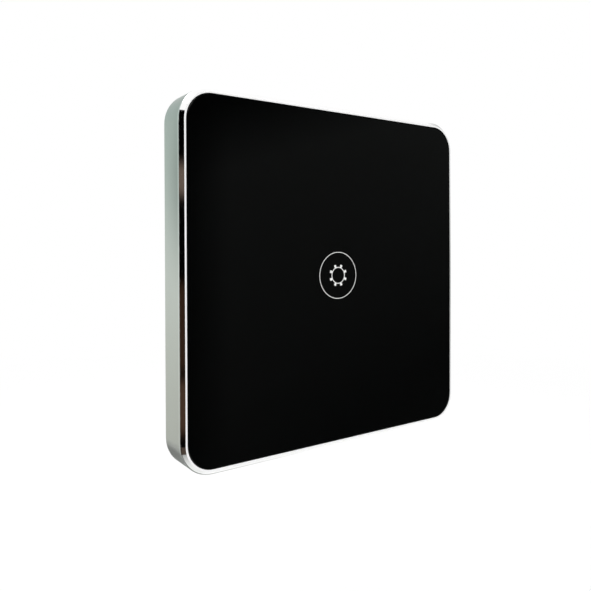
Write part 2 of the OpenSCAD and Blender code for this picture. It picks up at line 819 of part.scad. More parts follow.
module touch_chip() {
    lead = 0.4;
    lead_n = 4;
    lead_pitch = 1.27;
    leads_w = chip_size.y + 3 * lead;
    color("#26282a") on_wall() translate([chip_at.x, chip_at.y, touch_back]) mirror([0, 0, 1]) {
        translate([0, 0, lead / 2]) block([chip_size.x, chip_size.y, chip_h - lead / 2]);
        for (i = [0:lead_n - 1]) translate([(i - (lead_n - 1) / 2) * lead_pitch, 0, 0])
            block([lead, leads_w, lead]);
    }
}

module touch_passives() {
    color("#8c7a5c") on_wall() for (i = [-1:1], j = [-1, 1])
        translate([passive_at.x + i * passive_step, passive_at.y + j * passive_step / 2, touch_back])
            mirror([0, 0, 1]) block(passive_size);
}

module header_spacer() {
    spacer_h = touch_back - tray_back;
    color("#1a1b1c") on_wall() translate([0, header_y, touch_back]) mirror([0, 0, 1]) difference() {
        block([pin_n * pin_pitch, bar_w, spacer_h]);
        for (x = header_x) translate([x, 0, -cut]) block([pin_w, pin_w, spacer_h + 2 * cut]);
    }
}

module header_pins() {
    low = power_back - lead_tail;
    color("#c8b273") on_wall() for (x = header_x) translate([x, header_y, low])
        block([pin_w, pin_w, touch_front + lead_tail - low]);
}

// The power board's outline stays clear of the corner bosses.
module power_outline() {
    difference() {
        square(2 * board_half, center = true);
        at_corners(board_half) square(2 * (board_half - boss_at + boss_r + board_gap), center = true);
    }
}

module power_board() {
    color("#2a6b45") on_wall() translate([0, 0, power_back]) linear_extrude(board_t) difference() {
        power_outline();
        for (x = header_x) translate([x, header_y]) circle(pin_w / sqrt(2) + lead_play);
        for (x = [-pole_pitch, 0, pole_pitch]) translate([x, tongue_pin_y])
            square([tongue_pin_w + 2 * lead_play, tongue_t + 2 * lead_play], center = true);
        translate([relay_left, 0]) relay_pin_holes();
    }
}

// Holes for the relay's four pins, in its base and in the board.
module relay_pin_holes() {
    for (x = [com_pin_x, strip_x + strip_t / 2]) translate([x, 0])
        square([strip_t + 2 * lead_play, relay_pin_w + 2 * lead_play], center = true);
    for (y = [-coil_pin_y, coil_pin_y]) translate([coil_pin_x, y]) circle(coil_pin_r + lead_play);
}

module relay_case() {
    inside = [for (s = relay_size) s - 2 * relay_wall];
    color("#2f6fb5") in_relay() translate([relay_size.x / 2, 0, 0]) difference() {
        block(relay_size);
        translate([0, 0, -relay_wall]) block([inside.x, inside.y, relay_size.z]);
    }
}

module relay_base() {
    base_l = relay_size.x - 2 * relay_wall - 2 * lead_play;
    base_w = relay_size.y - 2 * relay_wall - 2 * lead_play;
    color("#25272a") in_relay() translate([0, 0, relay_seat]) linear_extrude(relay_base_t) difference() {
        translate([relay_wall + lead_play, -base_w / 2]) square([base_l, base_w]);
        relay_pin_holes();
    }
}

// L-shaped iron: a foot under the coil and a wall that ends in a rounded rocking edge.
module relay_frame() {
    relief = 0.25;
    foot_end = com_pin_x + strip_t / 2;
    color("#b7b2a6") in_relay() difference() {
        union() {
            translate([iron_left, -iron_w / 2, iron_low]) cube([foot_end - iron_left, iron_w, iron_t]);
            translate([iron_left, -iron_w / 2, iron_low])
                cube([iron_t, iron_w, armature_low - relief - iron_low]);
            translate([edge_x, iron_w / 2, armature_low]) rotate([90, 0, 0]) cylinder(r = edge_r, h = iron_w);
            translate([com_pin_x, 0, -board_t - lead_tail])
                block([strip_t, relay_pin_w, iron_low + board_t + lead_tail + weld]);
        }
        translate([core_x, 0, iron_low - cut]) cylinder(r = core_r + screw_play, h = iron_t + 2 * cut);
    }
}

module relay_core() {
    color("#9fa3a6") in_relay() translate([core_x, 0, 0]) {
        translate([0, 0, iron_low]) cylinder(r = core_r, h = pole_low - iron_low + weld);
        translate([0, 0, pole_low]) cylinder(r = pole_r, h = pole_t);
    }
}

module relay_bobbin() {
    foot_half = coil_pin_y + 2 * coil_pin_r;
    color("#d7d2c0") in_relay() translate([core_x, 0, bobbin_low]) difference() {
        union() {
            cylinder(r = bobbin_r, h = bobbin_wall);
            translate([0, -foot_half, 0]) cube([bobbin_r - bobbin_wall, 2 * foot_half, bobbin_wall]);
            cylinder(r = core_r + 2 * screw_play + bobbin_wall, h = bobbin_h);
            translate([0, 0, bobbin_h - bobbin_wall]) cylinder(r = bobbin_r, h = bobbin_wall);
        }
        translate([0, 0, -cut]) cylinder(r = core_r + screw_play, h = bobbin_h + 2 * cut);
    }
}

module relay_coil() {
    color("#a4562a") in_relay() translate([core_x, 0, bobbin_low + bobbin_wall]) difference() {
        cylinder(r = bobbin_r - bobbin_wall / 2, h = bobbin_h - 2 * bobbin_wall);
        translate([0, 0, -cut]) cylinder(r = core_r + 3 * screw_play + bobbin_wall, h = bobbin_h + cut);
    }
}

module relay_coil_pins() {
    color("#c0c3c4") in_relay() for (y = [-coil_pin_y, coil_pin_y])
        translate([coil_pin_x, y, -board_t - lead_tail])
            cylinder(r = coil_pin_r, h = bobbin_low + board_t + lead_tail);
}

module relay_fixed_contact() {
    button_h = 0.5;
    shelf_top = fixed_top - button_h;
    shelf_left = contact_x - contact_r - strip_t / 2;
    color("#c79a4f") in_relay() {
        translate([strip_x, -strip_w / 2, iron_low]) cube([strip_t, strip_w, shelf_top - iron_low]);
        translate([strip_x, -relay_pin_w / 2, -board_t - lead_tail])
            cube([strip_t, relay_pin_w, iron_low + board_t + lead_tail + weld]);
        translate([shelf_left, -strip_w / 2, shelf_top - strip_t])
            cube([strip_x - shelf_left + strip_t, strip_w, strip_t]);
        translate([contact_x, 0, shelf_top - weld]) cylinder(r = contact_r, h = button_h + weld);
    }
}

module relay_armature() {
    tail = iron_t / 2 + screw_play;
    reach = core_reach + pole_r + 2 * screw_play;
    arm_half = iron_w / 2 - armature_gap;
    color("#a9a59a") in_relay() translate([edge_x, 0, armature_low]) difference() {
        translate([-tail, -arm_half, 0]) cube([tail + reach, 2 * arm_half, armature_t]);
        translate([0, iron_w, 0]) rotate([90, 0, 0]) cylinder(r = edge_r + screw_play, h = 2 * iron_w);
    }
}

module relay_contact_spring() {
    leaf_w = strip_w + leaf_t;
    leaf_left = 2 * edge_r;
    rivet_r = 0.6;
    color("#cf9f5a") in_relay() translate([edge_x, 0, leaf_low]) {
        translate([leaf_left, -leaf_w / 2, 0]) cube([contact_reach + contact_r - leaf_left, leaf_w, leaf_t]);
        for (x = [core_reach - pole_r, core_reach])
            translate([x, 0, 0]) cylinder(r = rivet_r, h = 2 * leaf_t);
        translate([contact_reach, 0, -contact_h]) cylinder(r = contact_r, h = contact_h + leaf_t);
    }
}

module at_transformer() {
    on_power_board() translate([trafo_left + trafo_w / 2, trafo_y, 0]) children();
}

// Widths of the winding's two windows and of the middle leg come from the outer legs.
module transformer_core() {
    window = (trafo_w - 2 * ferrite_leg - middle_leg) / 2;
    color("#3a3b3d") at_transformer() translate([0, 0, trafo_foot]) difference() {
        block([trafo_w, ferrite_d, ferrite_h]);
        for (side = [-1, 1]) translate([side * (middle_leg + window) / 2, 0, ferrite_leg])
            block([window, ferrite_d + cut, ferrite_h - 2 * ferrite_leg]);
    }
}

module transformer_winding() {
    outside = trafo_w - 2 * ferrite_leg - 2 * cage_gap;
    height = ferrite_h - 2 * ferrite_leg;
    color("#e0b63a") at_transformer() translate([0, 0, trafo_foot + ferrite_leg]) difference() {
        block([outside, trafo_w - part_gap, height]);
        translate([0, 0, -cut]) block([middle_leg, ferrite_d, height + 2 * cut]);
    }
}

module transformer_bobbin() {
    color("#2c2d2f") at_transformer() difference() {
        block([trafo_w, trafo_w, trafo_foot]);
        translate([0, 0, -cut]) block([trafo_w / 2, trafo_w / 2, trafo_foot / 2 + cut]);
    }
}

module film_capacitor() {
    edge = 0.6;
    color("#c8a63c") on_power_board() translate([film_left, film_low, 0]) linear_extrude(film_size.z) {
        translate([edge, 0]) square([film_size.x - 2 * edge, film_size.y]);
        translate([0, edge]) square([film_size.x, film_size.y - 2 * edge]);
        for (x = [edge, film_size.x - edge], y = [edge, film_size.y - edge]) translate([x, y]) circle(edge);
    }
}

// Can with a rubber seat, a rolled groove near its foot and a rounded top.
module smoothing_capacitor() {
    groove = 0.4;
    round_r = 0.6;
    groove_at = 1.8;
    color("#20242c") on_power_board() translate([can_at.x, can_at.y, 0]) difference() {
        rotate_extrude() {
            square([can_r - round_r, can_h]);
            square([can_r, can_h - round_r]);
            translate([can_r - round_r, can_h - round_r]) circle(round_r);
        }
        translate([0, 0, groove_at]) rotate_extrude() translate([can_r + groove / 4, 0]) circle(groove);
    }
}

// Lacquered disc on edge, with its two leads standing on the board.
module varistor() {
    lead_r = 0.35;
    lift = 1;
    rim = varistor_t / 4;
    color("#2a5db0") on_power_board() translate([varistor_at.x, varistor_at.y, 0]) {
        translate([0, 0, lift + varistor_r]) rotate([90, 0, 0]) rotate_extrude() {
            translate([0, -varistor_t / 2]) square([varistor_r - rim, varistor_t]);
            translate([0, -varistor_t / 2 + rim]) square([varistor_r, varistor_t - 2 * rim]);
            for (y = [-1, 1]) translate([varistor_r - rim, y * (varistor_t / 2 - rim)]) circle(rim);
        }
        for (side = [-1, 1]) translate([side * varistor_r / 2, side * varistor_t / 8, 0])
            cylinder(r = lead_r, h = lift + varistor_r);
    }
}

module fuse() {
    color("#4a3626") on_power_board() translate([fuse_at.x, fuse_at.y, 0]) cylinder(r = fuse_r, h = fuse_h);
}

module rectifier() {
    color("#202224") on_power_board() translate([rectifier_at.x, rectifier_at.y, 0]) block(rectifier_size);
}

module terminal_body() {
    color("#3f9a55") in_terminal() difference() {
        translate([-terminal_half, 0, 0]) cube([2 * terminal_half, terminal_d, terminal_h]);
        for (x = [-pole_pitch, 0, pole_pitch]) translate([x, 0, 0]) {
            translate([0, (terminal_wall + chamber_back) / 2, terminal_wall])
                block([chamber_w, chamber_back - terminal_wall, chamber_h - terminal_wall]);
            translate([0, 0, cage_open - window_margin])
                block([window_w, 2 * terminal_wall + cut, window_h]);
            translate([0, tongue_back + tongue_t / 2, -cut])
                block([tongue_pin_w + 2 * lead_play, tongue_t + 2 * lead_play, terminal_wall + 2 * cut]);
            translate([0, cage_face + cage_l / 2, chamber_h - cut])
                cylinder(r = tscrew_head_r + lead_play, h = tscrew_head_h + cage_gap + cut);
            translate([0, cage_face + cage_l / 2, chamber_h])
                cylinder(r = driver_r, h = terminal_h - chamber_h + cut);
        }
    }
}

// Bent brass strip: the tongue over the wire, a leg down the back and a pin into the board.
module terminal_tongues() {
    color("#c9a24a") in_terminal() for (x = [-pole_pitch, 0, pole_pitch]) translate([x, 0, 0]) {
        translate([-tongue_w / 2, cage_face, tongue_low])
            cube([tongue_w, tongue_back + tongue_t - cage_face, tongue_t]);
        translate([-tongue_w / 2, tongue_back, terminal_wall])
            cube([tongue_w, tongue_t, tongue_high - terminal_wall]);
        translate([0, tongue_back + tongue_t / 2, -board_t - lead_tail])
            block([tongue_pin_w, tongue_t, terminal_wall + board_t + lead_tail + weld]);
    }
}

// Screw with its tip over the tongue and its head kept in the body.
module terminal_screw(x) {
    tip = tongue_high + screw_play;
    color("#bfc3c4") in_terminal() translate([x, cage_face + cage_l / 2, 0]) difference() {
        union() {
            translate([0, 0, tip]) cylinder(r = tscrew_r, h = chamber_h - tip + weld);
            translate([0, 0, chamber_h]) cylinder(r = tscrew_head_r, h = tscrew_head_h);
        }
        translate([0, 0, head_high - driver_d]) block([2 * tscrew_head_r + cut, driver_w, driver_d + cut]);
    }
}

module terminal_screw_live() {
    terminal_screw(-pole_pitch);
}

module terminal_screw_neutral() {
    terminal_screw(0);
}

module terminal_screw_load() {
    terminal_screw(pole_pitch);
}

// Folded cage that the wire goes through. Its top holds the thread.
module clamp_cage(x) {
    outside = cage_in + 2 * cage_wall;
    color("#d2b25c") in_terminal() translate([x, cage_face + cage_l / 2, cage_rest]) difference() {
        block([outside, cage_l, cage_high - cage_rest]);
        translate([0, 0, cage_floor]) block([cage_in, cage_l + cut, cage_roof - cage_open]);
        translate([0, 0, cage_roof - cage_rest - cut])
            cylinder(r = tscrew_r + screw_play, h = cage_top + 2 * cut);
    }
}

module clamp_cage_live() {
    clamp_cage(-pole_pitch);
}

module clamp_cage_neutral() {
    clamp_cage(0);
}

module clamp_cage_load() {
    clamp_cage(pole_pitch);
}

bezel_frame();
glass_panel();
adhesive_tape();
panel_carrier();
light_diffuser();
mounting_yoke();
inner_cover();
back_housing();
housing_screws();
touch_board();
board_screws();
touch_spring();
indicator_leds();
touch_chip();
touch_passives();
header_spacer();
header_pins();
power_board();
relay_case();
relay_base();
relay_frame();
relay_core();
relay_bobbin();
relay_coil();
relay_coil_pins();
relay_fixed_contact();
relay_armature();
relay_contact_spring();
transformer_core();
transformer_winding();
transformer_bobbin();
film_capacitor();
smoothing_capacitor();
varistor();
fuse();
rectifier();
terminal_body();
terminal_tongues();
terminal_screw_live();
terminal_screw_neutral();
terminal_screw_load();
clamp_cage_live();
clamp_cage_neutral();
clamp_cage_load();
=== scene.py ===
import math

import bmesh
import bpy
from mathutils import Matrix, Vector


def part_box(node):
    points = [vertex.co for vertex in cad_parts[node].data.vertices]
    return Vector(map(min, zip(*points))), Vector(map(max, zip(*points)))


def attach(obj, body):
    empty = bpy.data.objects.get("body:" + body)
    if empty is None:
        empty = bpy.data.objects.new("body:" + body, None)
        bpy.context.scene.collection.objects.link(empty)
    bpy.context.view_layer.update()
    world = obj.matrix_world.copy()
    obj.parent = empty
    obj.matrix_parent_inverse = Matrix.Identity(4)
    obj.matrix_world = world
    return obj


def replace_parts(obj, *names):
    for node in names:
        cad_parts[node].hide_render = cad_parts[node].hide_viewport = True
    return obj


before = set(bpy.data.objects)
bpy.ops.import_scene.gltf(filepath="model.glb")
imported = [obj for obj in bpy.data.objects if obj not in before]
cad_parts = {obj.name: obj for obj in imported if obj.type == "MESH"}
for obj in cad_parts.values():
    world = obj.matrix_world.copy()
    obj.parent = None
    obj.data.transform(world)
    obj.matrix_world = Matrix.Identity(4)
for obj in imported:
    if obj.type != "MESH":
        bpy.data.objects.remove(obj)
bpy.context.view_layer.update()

# Back housing: the box that goes into the wall box, moulded in one piece of off-white ABS.
# Its outside is spark-eroded in the tool, so it is dull and finely grained, with edges that are
# never quite sharp. Raised signs below the three wire windows name the terminals.
MM = 0.001
# The colour sockets of a Mix node share their names with its other sockets, so they go by number.
MIX_A, MIX_B, MIX_OUT = 6, 7, 2


def linear(colour):
    """An sRGB hex colour as the linear RGBA that shaders take."""
    parts = [int(colour[i:i + 2], 16) / 255 for i in (1, 3, 5)]
    return [c / 12.92 if c <= 0.04045 else ((c + 0.055) / 1.055) ** 2.4 for c in parts] + [1]


def add(tree, kind, inputs=None, **settings):
    """Adds a shader node with its settings, and links or sets its inputs."""
    made = tree.nodes.new("ShaderNode" + kind)
    for name, value in settings.items():
        setattr(made, name, value)
    for socket, value in (inputs or {}).items():
        if isinstance(value, bpy.types.NodeSocket):
            tree.links.new(value, made.inputs[socket])
        else:
            made.inputs[socket].default_value = value
    return made


def new_finish(name, **sockets):
    """Starts a material: its Principled shader, with the constant sockets set, and Object coordinates."""
    made = bpy.data.materials.new(name)
    made.use_nodes = True
    tree = made.node_tree
    shader = tree.nodes["Principled BSDF"]
    for socket, value in sockets.items():
        shader.inputs[socket.replace("_", " ")].default_value = value
    return made, tree, shader.inputs, add(tree, "TexCoord").outputs["Object"]


def dress(material, *names):
    """Gives CAD nodes their finish."""
    for name in names:
        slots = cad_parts[name].data.materials
        slots.clear()
        slots.append(material)


def grained(name, low, high, grit, roughness, edge=0.12, relief=0.03, **sockets):
    """A dull moulded, pressed or dipped surface: fine grit, slow changes of tone, softened edges.

    The sizes are in mm. Real grit is mostly finer, and is drawn as coarse as it needs to show.
    """
    tone_size = 12 * MM
    uneven = 0.1
    made, tree, shader, place = new_finish(name, **sockets)
    clouds = add(tree, "TexNoise", {"Vector": place, "Scale": 1 / tone_size, "Detail": 4})
    grains = add(tree, "TexNoise", {"Vector": place, "Scale": 1 / (grit * MM), "Detail": 3})
    tone = add(tree, "Mix", {
        0: clouds.outputs["Fac"], MIX_A: linear(low), MIX_B: linear(high),
    }, data_type="RGBA")
    matt = add(tree, "MapRange", {
        "Value": grains.outputs["Fac"], "To Min": roughness - uneven, "To Max": roughness + uneven,
    })
    soft_edge = add(tree, "Bevel", {"Radius": edge * MM}, samples=4)
    bump = add(tree, "Bump", {
        "Distance": relief * MM, "Height": grains.outputs["Fac"], "Normal": soft_edge.outputs["Normal"],
    })
    tree.links.new(tone.outputs[MIX_OUT], shader["Base Color"])
    tree.links.new(matt.outputs["Result"], shader["Roughness"])
    tree.links.new(bump.outputs["Normal"], shader["Normal"])
    return made


white_abs = grained("moulded_white_abs", "#dcddd6", "#e8e9e4", grit=0.5, roughness=0.48, edge=0.3, IOR=1.53)
dress(white_abs, "back_housing")


def piece(name, shape, material, body):
    """Makes a bmesh in the row frame a piece of the object, with its faces closed and pointing out."""
    weld = 0.0001 * MM
    bmesh.ops.remove_doubles(shape, verts=shape.verts, dist=weld)
    bmesh.ops.recalc_face_normals(shape, faces=shape.faces)
    mesh = bpy.data.meshes.new(name)
    shape.to_mesh(mesh)
    shape.free()
    mesh.materials.append(material)
    made = bpy.data.objects.new(name, mesh)
    bpy.context.scene.collection.objects.link(made)
    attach(made, body)
    return made


def grown(shape, geom, move):
    """Extrudes edges or flat faces, moves the new end by a matrix and returns its vertices and edges."""
    if isinstance(geom[0], bmesh.types.BMFace):
        new = bmesh.ops.extrude_face_region(shape, geom=geom)["geom"]
    else:
        new = bmesh.ops.extrude_edge_only(shape, edges=geom)["geom"]
    verts = [g for g in new if isinstance(g, bmesh.types.BMVert)]
    bmesh.ops.transform(shape, matrix=move, verts=verts)
    ends = set(verts)
    return verts, [g for g in new if isinstance(g, bmesh.types.BMEdge) and ends.issuperset(g.verts)]


def flat_ring(shape, inner, outer, sides):
    """Makes a flat ring round the origin and returns its outer rim's edges."""
    bmesh.ops.create_circle(shape, radius=inner, segments=sides)
    return grown(shape, shape.edges[:], Matrix.Scale(outer / inner, 4))[1]


def middle_x(node):
    """The middle of a CAD node from left to right."""
    return sum(corner.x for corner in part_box(node)) / 2


sign_h = 2.6 * MM
sign_raised = 0.2 * MM
sign_line = 0.3 * MM
sign_from_back = 6.3 * MM
sign_sides = 48
letter_size = 1.35 * sign_h
letters = {"clamp_cage_live": "L", "clamp_cage_neutral": "N"}
box_low, box_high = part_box("back_housing")
# The switched terminal has the sign of a lamp, a crossed ring.
signs = bmesh.new()
flat_ring(signs, sign_h / 2 - sign_line, sign_h / 2, sign_sides)
grown(signs, signs.faces[:], Matrix.Translation((0, 0, sign_raised)))
bar = Matrix.Diagonal((sign_h - sign_line, sign_line, sign_raised, 1))
for turn in (45, -45):
    crossed = Matrix.Rotation(math.radians(turn), 4, "Z") @ Matrix.Translation((0, 0, sign_raised / 2))
    bmesh.ops.create_cube(signs, matrix=crossed @ bar)
bmesh.ops.translate(signs, vec=(-middle_x("clamp_cage_load"), 0, 0), verts=signs.verts)
for cage, letter in letters.items():
    text = bpy.data.curves.new("terminal_letter", "FONT")
    text.body = letter
    text.size = letter_size
    text.extrude = sign_raised / 2
    text.align_x = "CENTER"
    text.align_y = "CENTER"
    holder = bpy.data.objects.new("terminal_letter", text)
    mesh = bpy.data.meshes.new_from_object(holder)
    mesh.transform(Matrix.Translation((-middle_x(cage), 0, sign_raised / 2)))
    signs.from_mesh(mesh)
    bpy.data.objects.remove(holder)
    bpy.data.curves.remove(text)
    bpy.data.meshes.remove(mesh)
# The box is square, so its underside lies as far down as its sides lie out. The signs read from behind.
under_box = Matrix.Translation((0, box_high.y - sign_from_back, box_low.x))
face_down = Matrix.Rotation(math.pi, 4, "Y")
bmesh.ops.transform(signs, matrix=under_box @ face_down, verts=signs.verts)
piece("terminal_signs", signs, white_abs, "base")

# Power board: glass-fibre laminate under green solder mask, routed to clear the corner bosses.
# Under the mask copper tracks stand up a little and show lighter, tinned joints are bright, and
# the routed edges show the bare yellowish laminate.

# A face counts as turned to an axis where its normal's part along that axis is more than this.
FACES_AXIS = 0.5


def laminate(name, mask, over_copper, track_pitch):
    """A printed board that lies in the XZ plane, with tracks a pitch in mm apart."""
    track_width = 0.12 * track_pitch
    track_run = 3.5 * track_pitch
    joint_pitch = 4 * MM
    joint_radius = 0.56 * MM
    relief = 0.05 * MM
    made, tree, shader, place = new_finish(name, IOR=1.5)
    in_plane = add(tree, "Mapping", {"Vector": place, "Rotation": (math.pi / 2, 0, 0)}).outputs["Vector"]
    tracks = add(tree, "TexBrick", {
        "Vector": in_plane, "Scale": 1 / MM, "Mortar Size": track_width, "Mortar Smooth": 0.1,
        "Brick Width": track_run, "Row Height": track_pitch,
    }, offset=0.37, squash=0.6, squash_frequency=3).outputs["Fac"]
    joints = add(tree, "TexVoronoi", {
        "Vector": in_plane, "Scale": 1 / joint_pitch, "Randomness": 0.6,
    }, voronoi_dimensions="2D")
    joint = add(tree, "Math", {
        0: joints.outputs["Distance"], 1: joint_radius / joint_pitch,
    }, operation="LESS_THAN").outputs[0]
    facing = add(tree, "SeparateXYZ", {0: add(tree, "TexCoord").outputs["Normal"]}).outputs["Y"]
    flat = add(tree, "Math", {0: facing}, operation="ABSOLUTE").outputs[0]
    edge = add(tree, "Math", {0: flat, 1: FACES_AXIS}, operation="LESS_THAN").outputs[0]
    tone = linear(mask)
    for where, colour in ((tracks, over_copper), (joint, "#c9ccce"), (edge, "#b5a66a")):
        tone = add(tree, "Mix", {
            0: where, MIX_A: tone, MIX_B: linear(colour),
        }, data_type="RGBA").outputs[MIX_OUT]
    tin = add(tree, "Math", {0: joint, 1: edge}, operation="SUBTRACT", use_clamp=True).outputs[0]
    gloss = add(tree, "MapRange", {"Value": edge, "To Min": 0.32, "To Max": 0.75})
    height = add(tree, "Math", {0: tracks, 1: joint}, operation="ADD").outputs[0]
    bump = add(tree, "Bump", {"Distance": relief, "Height": height})
    tree.links.new(tone, shader["Base Color"])
    tree.links.new(tin, shader["Metallic"])
    tree.links.new(gloss.outputs["Result"], shader["Roughness"])
    tree.links.new(bump.outputs["Normal"], shader["Normal"])
    return made


dress(laminate("fr4_power_laminate", "#1c5a36", "#2c7a4b", track_pitch=2.4), "power_board")

# Relay: an electromagnetic switch that stands on the power board in a case of moulded blue PBT.
# A stamped frame, a turned core and a wound bobbin make the magnet, and its armature carries the
# leaf with the moving contact across to the fixed one.


def rolled(name, low, high, roughness, along, **sockets):
    """Sheet or bar metal, plated or bare: faint lines drawn along one axis, and cloudy plating.

    Real drawn lines are finer, and are drawn as coarse as they need to show.
    """
    line_length = 6 * MM
    line_width = 0.12 * MM
    cloud = 5 * MM
    edge = 0.12 * MM
    relief = 0.008 * MM
    smoother = 0.1
    duller = 0.12
    made, tree, shader, place = new_finish(name, Metallic=1, **sockets)
    stretch = [1 / line_length if axis == along else 1 / line_width for axis in "XYZ"]
    drawn = add(tree, "Mapping", {"Vector": place, "Scale": stretch}).outputs["Vector"]
    lines = add(tree, "TexNoise", {"Vector": drawn, "Scale": 1, "Detail": 3}).outputs["Fac"]
    clouds = add(tree, "TexNoise", {
        "Vector": place, "Scale": 1 / cloud, "Detail": 3, "Distortion": 0.5,
    }).outputs["Fac"]
    tone = add(tree, "Mix", {0: clouds, MIX_A: linear(low), MIX_B: linear(high)}, data_type="RGBA")
    # The two noises add up to about 1, so the roughness keeps to the middle of this range.
    both = add(tree, "Math", {0: lines, 1: clouds}, operation="ADD").outputs[0]
    satin = add(tree, "MapRange", {
        "Value": both, "From Min": 0.6, "From Max": 1.4,
        "To Min": roughness - smoother, "To Max": roughness + duller,
    })
    soft_edge = add(tree, "Bevel", {"Radius": edge}, samples=4)
    bump = add(tree, "Bump", {"Distance": relief, "Height": lines, "Normal": soft_edge.outputs["Normal"]})
    tree.links.new(tone.outputs[MIX_OUT], shader["Base Color"])
    tree.links.new(satin.outputs["Result"], shader["Roughness"])
    tree.links.new(bump.outputs["Normal"], shader["Normal"])
    return made


def wound(name, wire, crease_shade, thickness):
    """A winding of enamelled copper whose axis runs along Y: round turns side by side, with painted shade in
    the creases between them.

    The wire's thickness is in mm. Real wire is thinner, and is drawn as thick as it needs to show.
    """
    # A Wave texture of scale 1 repeats over this length.
    wave_period = math.tau / 20
    made, tree, shader, place = new_finish(name, Metallic=1, Roughness=0.3, Coat_Weight=0.6)
    turns = add(tree, "TexWave", {
        "Vector": place, "Scale": wave_period / (thickness * MM), "Distortion": 0.6, "Detail": 1,
    }, bands_direction="Y").outputs["Fac"]
    # Painted shade: the creases between the turns are painted darker.
    tone = add(tree, "Mix", {0: turns, MIX_A: linear(crease_shade), MIX_B: linear(wire)}, data_type="RGBA")
    bump = add(tree, "Bump", {"Distance": thickness * MM / 2, "Height": turns})
    tree.links.new(tone.outputs[MIX_OUT], shader["Base Color"])
    tree.links.new(bump.outputs["Normal"], shader["Normal"])
    return made


# PBT is dull with soft edges, plated steel and brass show faint lines, and the enamelled wire shines.
blue_pbt = grained("moulded_blue_pbt", "#1f5fae", "#2a6dbd", grit=0.4, roughness=0.42, edge=0.25, IOR=1.55)
black_pbt = grained("moulded_black_pbt", "#17191a", "#202324", grit=0.4, roughness=0.5, edge=0.2, IOR=1.55)
zinc_steel = rolled("zinc_plated_steel", "#b4b8bb", "#cfd2d2", roughness=0.34, along="X")
brass = rolled("tinned_brass", "#c2ad6c", "#d9c78d", roughness=0.3, along="Y")
enamelled_copper = wound("enamelled_copper_wire", "#b8632f", "#5a2b14", thickness=0.28)
dress(blue_pbt, "relay_case")
dress(black_pbt, "relay_base")
dress(zinc_steel, "relay_frame", "relay_core", "relay_armature")
dress(white_abs, "relay_bobbin")
dress(enamelled_copper, "relay_coil")
dress(brass, "relay_coil_pins", "relay_fixed_contact", "relay_contact_spring")

# Transformer: enamelled copper wound on a black bobbin, in a core pressed and sintered from ferrite.
# The core is dark grey and faintly uneven, as pressed powder is, and its edges are a little rounded.
ferrite = grained("sintered_ferrite", "#2b2d30", "#3c3f42", grit=0.25, roughness=0.55, edge=0.2, relief=0.05)
dress(ferrite, "transformer_core")
dress(enamelled_copper, "transformer_winding")
dress(black_pbt, "transformer_bobbin")

# Film capacitor: metallised film in a yellow PBT box that is filled with epoxy.
# The box is moulded, so it has the same dull grain as the other plastics.
yellow_pbt = grained("moulded_yellow_pbt", "#c79a27", "#d6ad3d", grit=0.4, roughness=0.4, edge=0.2, IOR=1.55)
dress(yellow_pbt, "film_capacitor")

# Smoothing capacitor: an aluminium can in a printed shrink sleeve.
# A pale stripe marks its minus side, and the bare top is scored with a cross so that it can vent.
can_low, can_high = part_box("smoothing_capacitor")
can_middle = (can_low + can_high) / 2
can_radius = (can_high.x - can_low.x) / 2
stripe_from = 0.86 * can_radius
sleeve_lap = 1 * MM
top_skin = 0.1 * MM
score_half = 0.25 * MM
wrinkle = 1.5 * MM
wrinkle_relief = 0.04 * MM
sleeved_can, tree, shader, place = new_finish("can_in_shrink_sleeve", Coat_Weight=0.3)
from_centre = add(tree, "VectorMath", {0: place, 1: can_middle}, operation="SUBTRACT").outputs[0]
offset = add(tree, "SeparateXYZ", {0: from_centre}).outputs
width = add(tree, "Math", {0: offset["X"]}, operation="ABSOLUTE").outputs[0]
rise = add(tree, "Math", {0: offset["Z"]}, operation="ABSOLUTE").outputs[0]
stripe = add(tree, "Math", {0: offset["X"], 1: -stripe_from}, operation="LESS_THAN").outputs[0]
top_from = can_high.y - can_middle.y - top_skin
end = add(tree, "Math", {0: offset["Y"], 1: top_from}, operation="GREATER_THAN").outputs[0]
sideways = add(tree, "VectorMath", {0: from_centre, 1: (1, 0, 1)}, operation="MULTIPLY").outputs[0]
off_axis = add(tree, "VectorMath", {0: sideways}, operation="LENGTH").outputs["Value"]
inside = add(tree, "Math", {0: off_axis, 1: can_radius - sleeve_lap}, operation="LESS_THAN").outputs[0]
bare = add(tree, "Math", {0: end, 1: inside}, operation="MULTIPLY").outputs[0]
nearest = add(tree, "Math", {0: width, 1: rise}, operation="MINIMUM").outputs[0]
scored = add(tree, "Math", {0: nearest, 1: score_half}, operation="LESS_THAN").outputs[0]
sleeve = add(tree, "Mix", {0: stripe, MIX_A: linear("#1d2430"), MIX_B: linear("#b9bcc0")}, data_type="RGBA")
# Painted shade: the scored cross is painted darker, as shade in its groove.
top = add(tree, "Mix", {0: scored, MIX_A: linear("#cfd1d2"), MIX_B: linear("#8a8d8f")}, data_type="RGBA")
skin = add(tree, "Mix", {
    0: bare, MIX_A: sleeve.outputs[MIX_OUT], MIX_B: top.outputs[MIX_OUT],
}, data_type="RGBA")
wrinkles = add(tree, "TexNoise", {"Vector": place, "Scale": 1 / wrinkle, "Detail": 3}).outputs["Fac"]
gloss = add(tree, "MapRange", {"Value": wrinkles, "To Min": 0.22, "To Max": 0.42})
relief = add(tree, "Math", {0: wrinkles, 1: scored}, operation="SUBTRACT").outputs[0]
bump = add(tree, "Bump", {"Distance": wrinkle_relief, "Height": relief})
tree.links.new(skin.outputs[MIX_OUT], shader["Base Color"])
tree.links.new(bare, shader["Metallic"])
tree.links.new(gloss.outputs["Result"], shader["Roughness"])
tree.links.new(bump.outputs["Normal"], shader["Normal"])
dress(sleeved_can, "smoothing_capacitor")

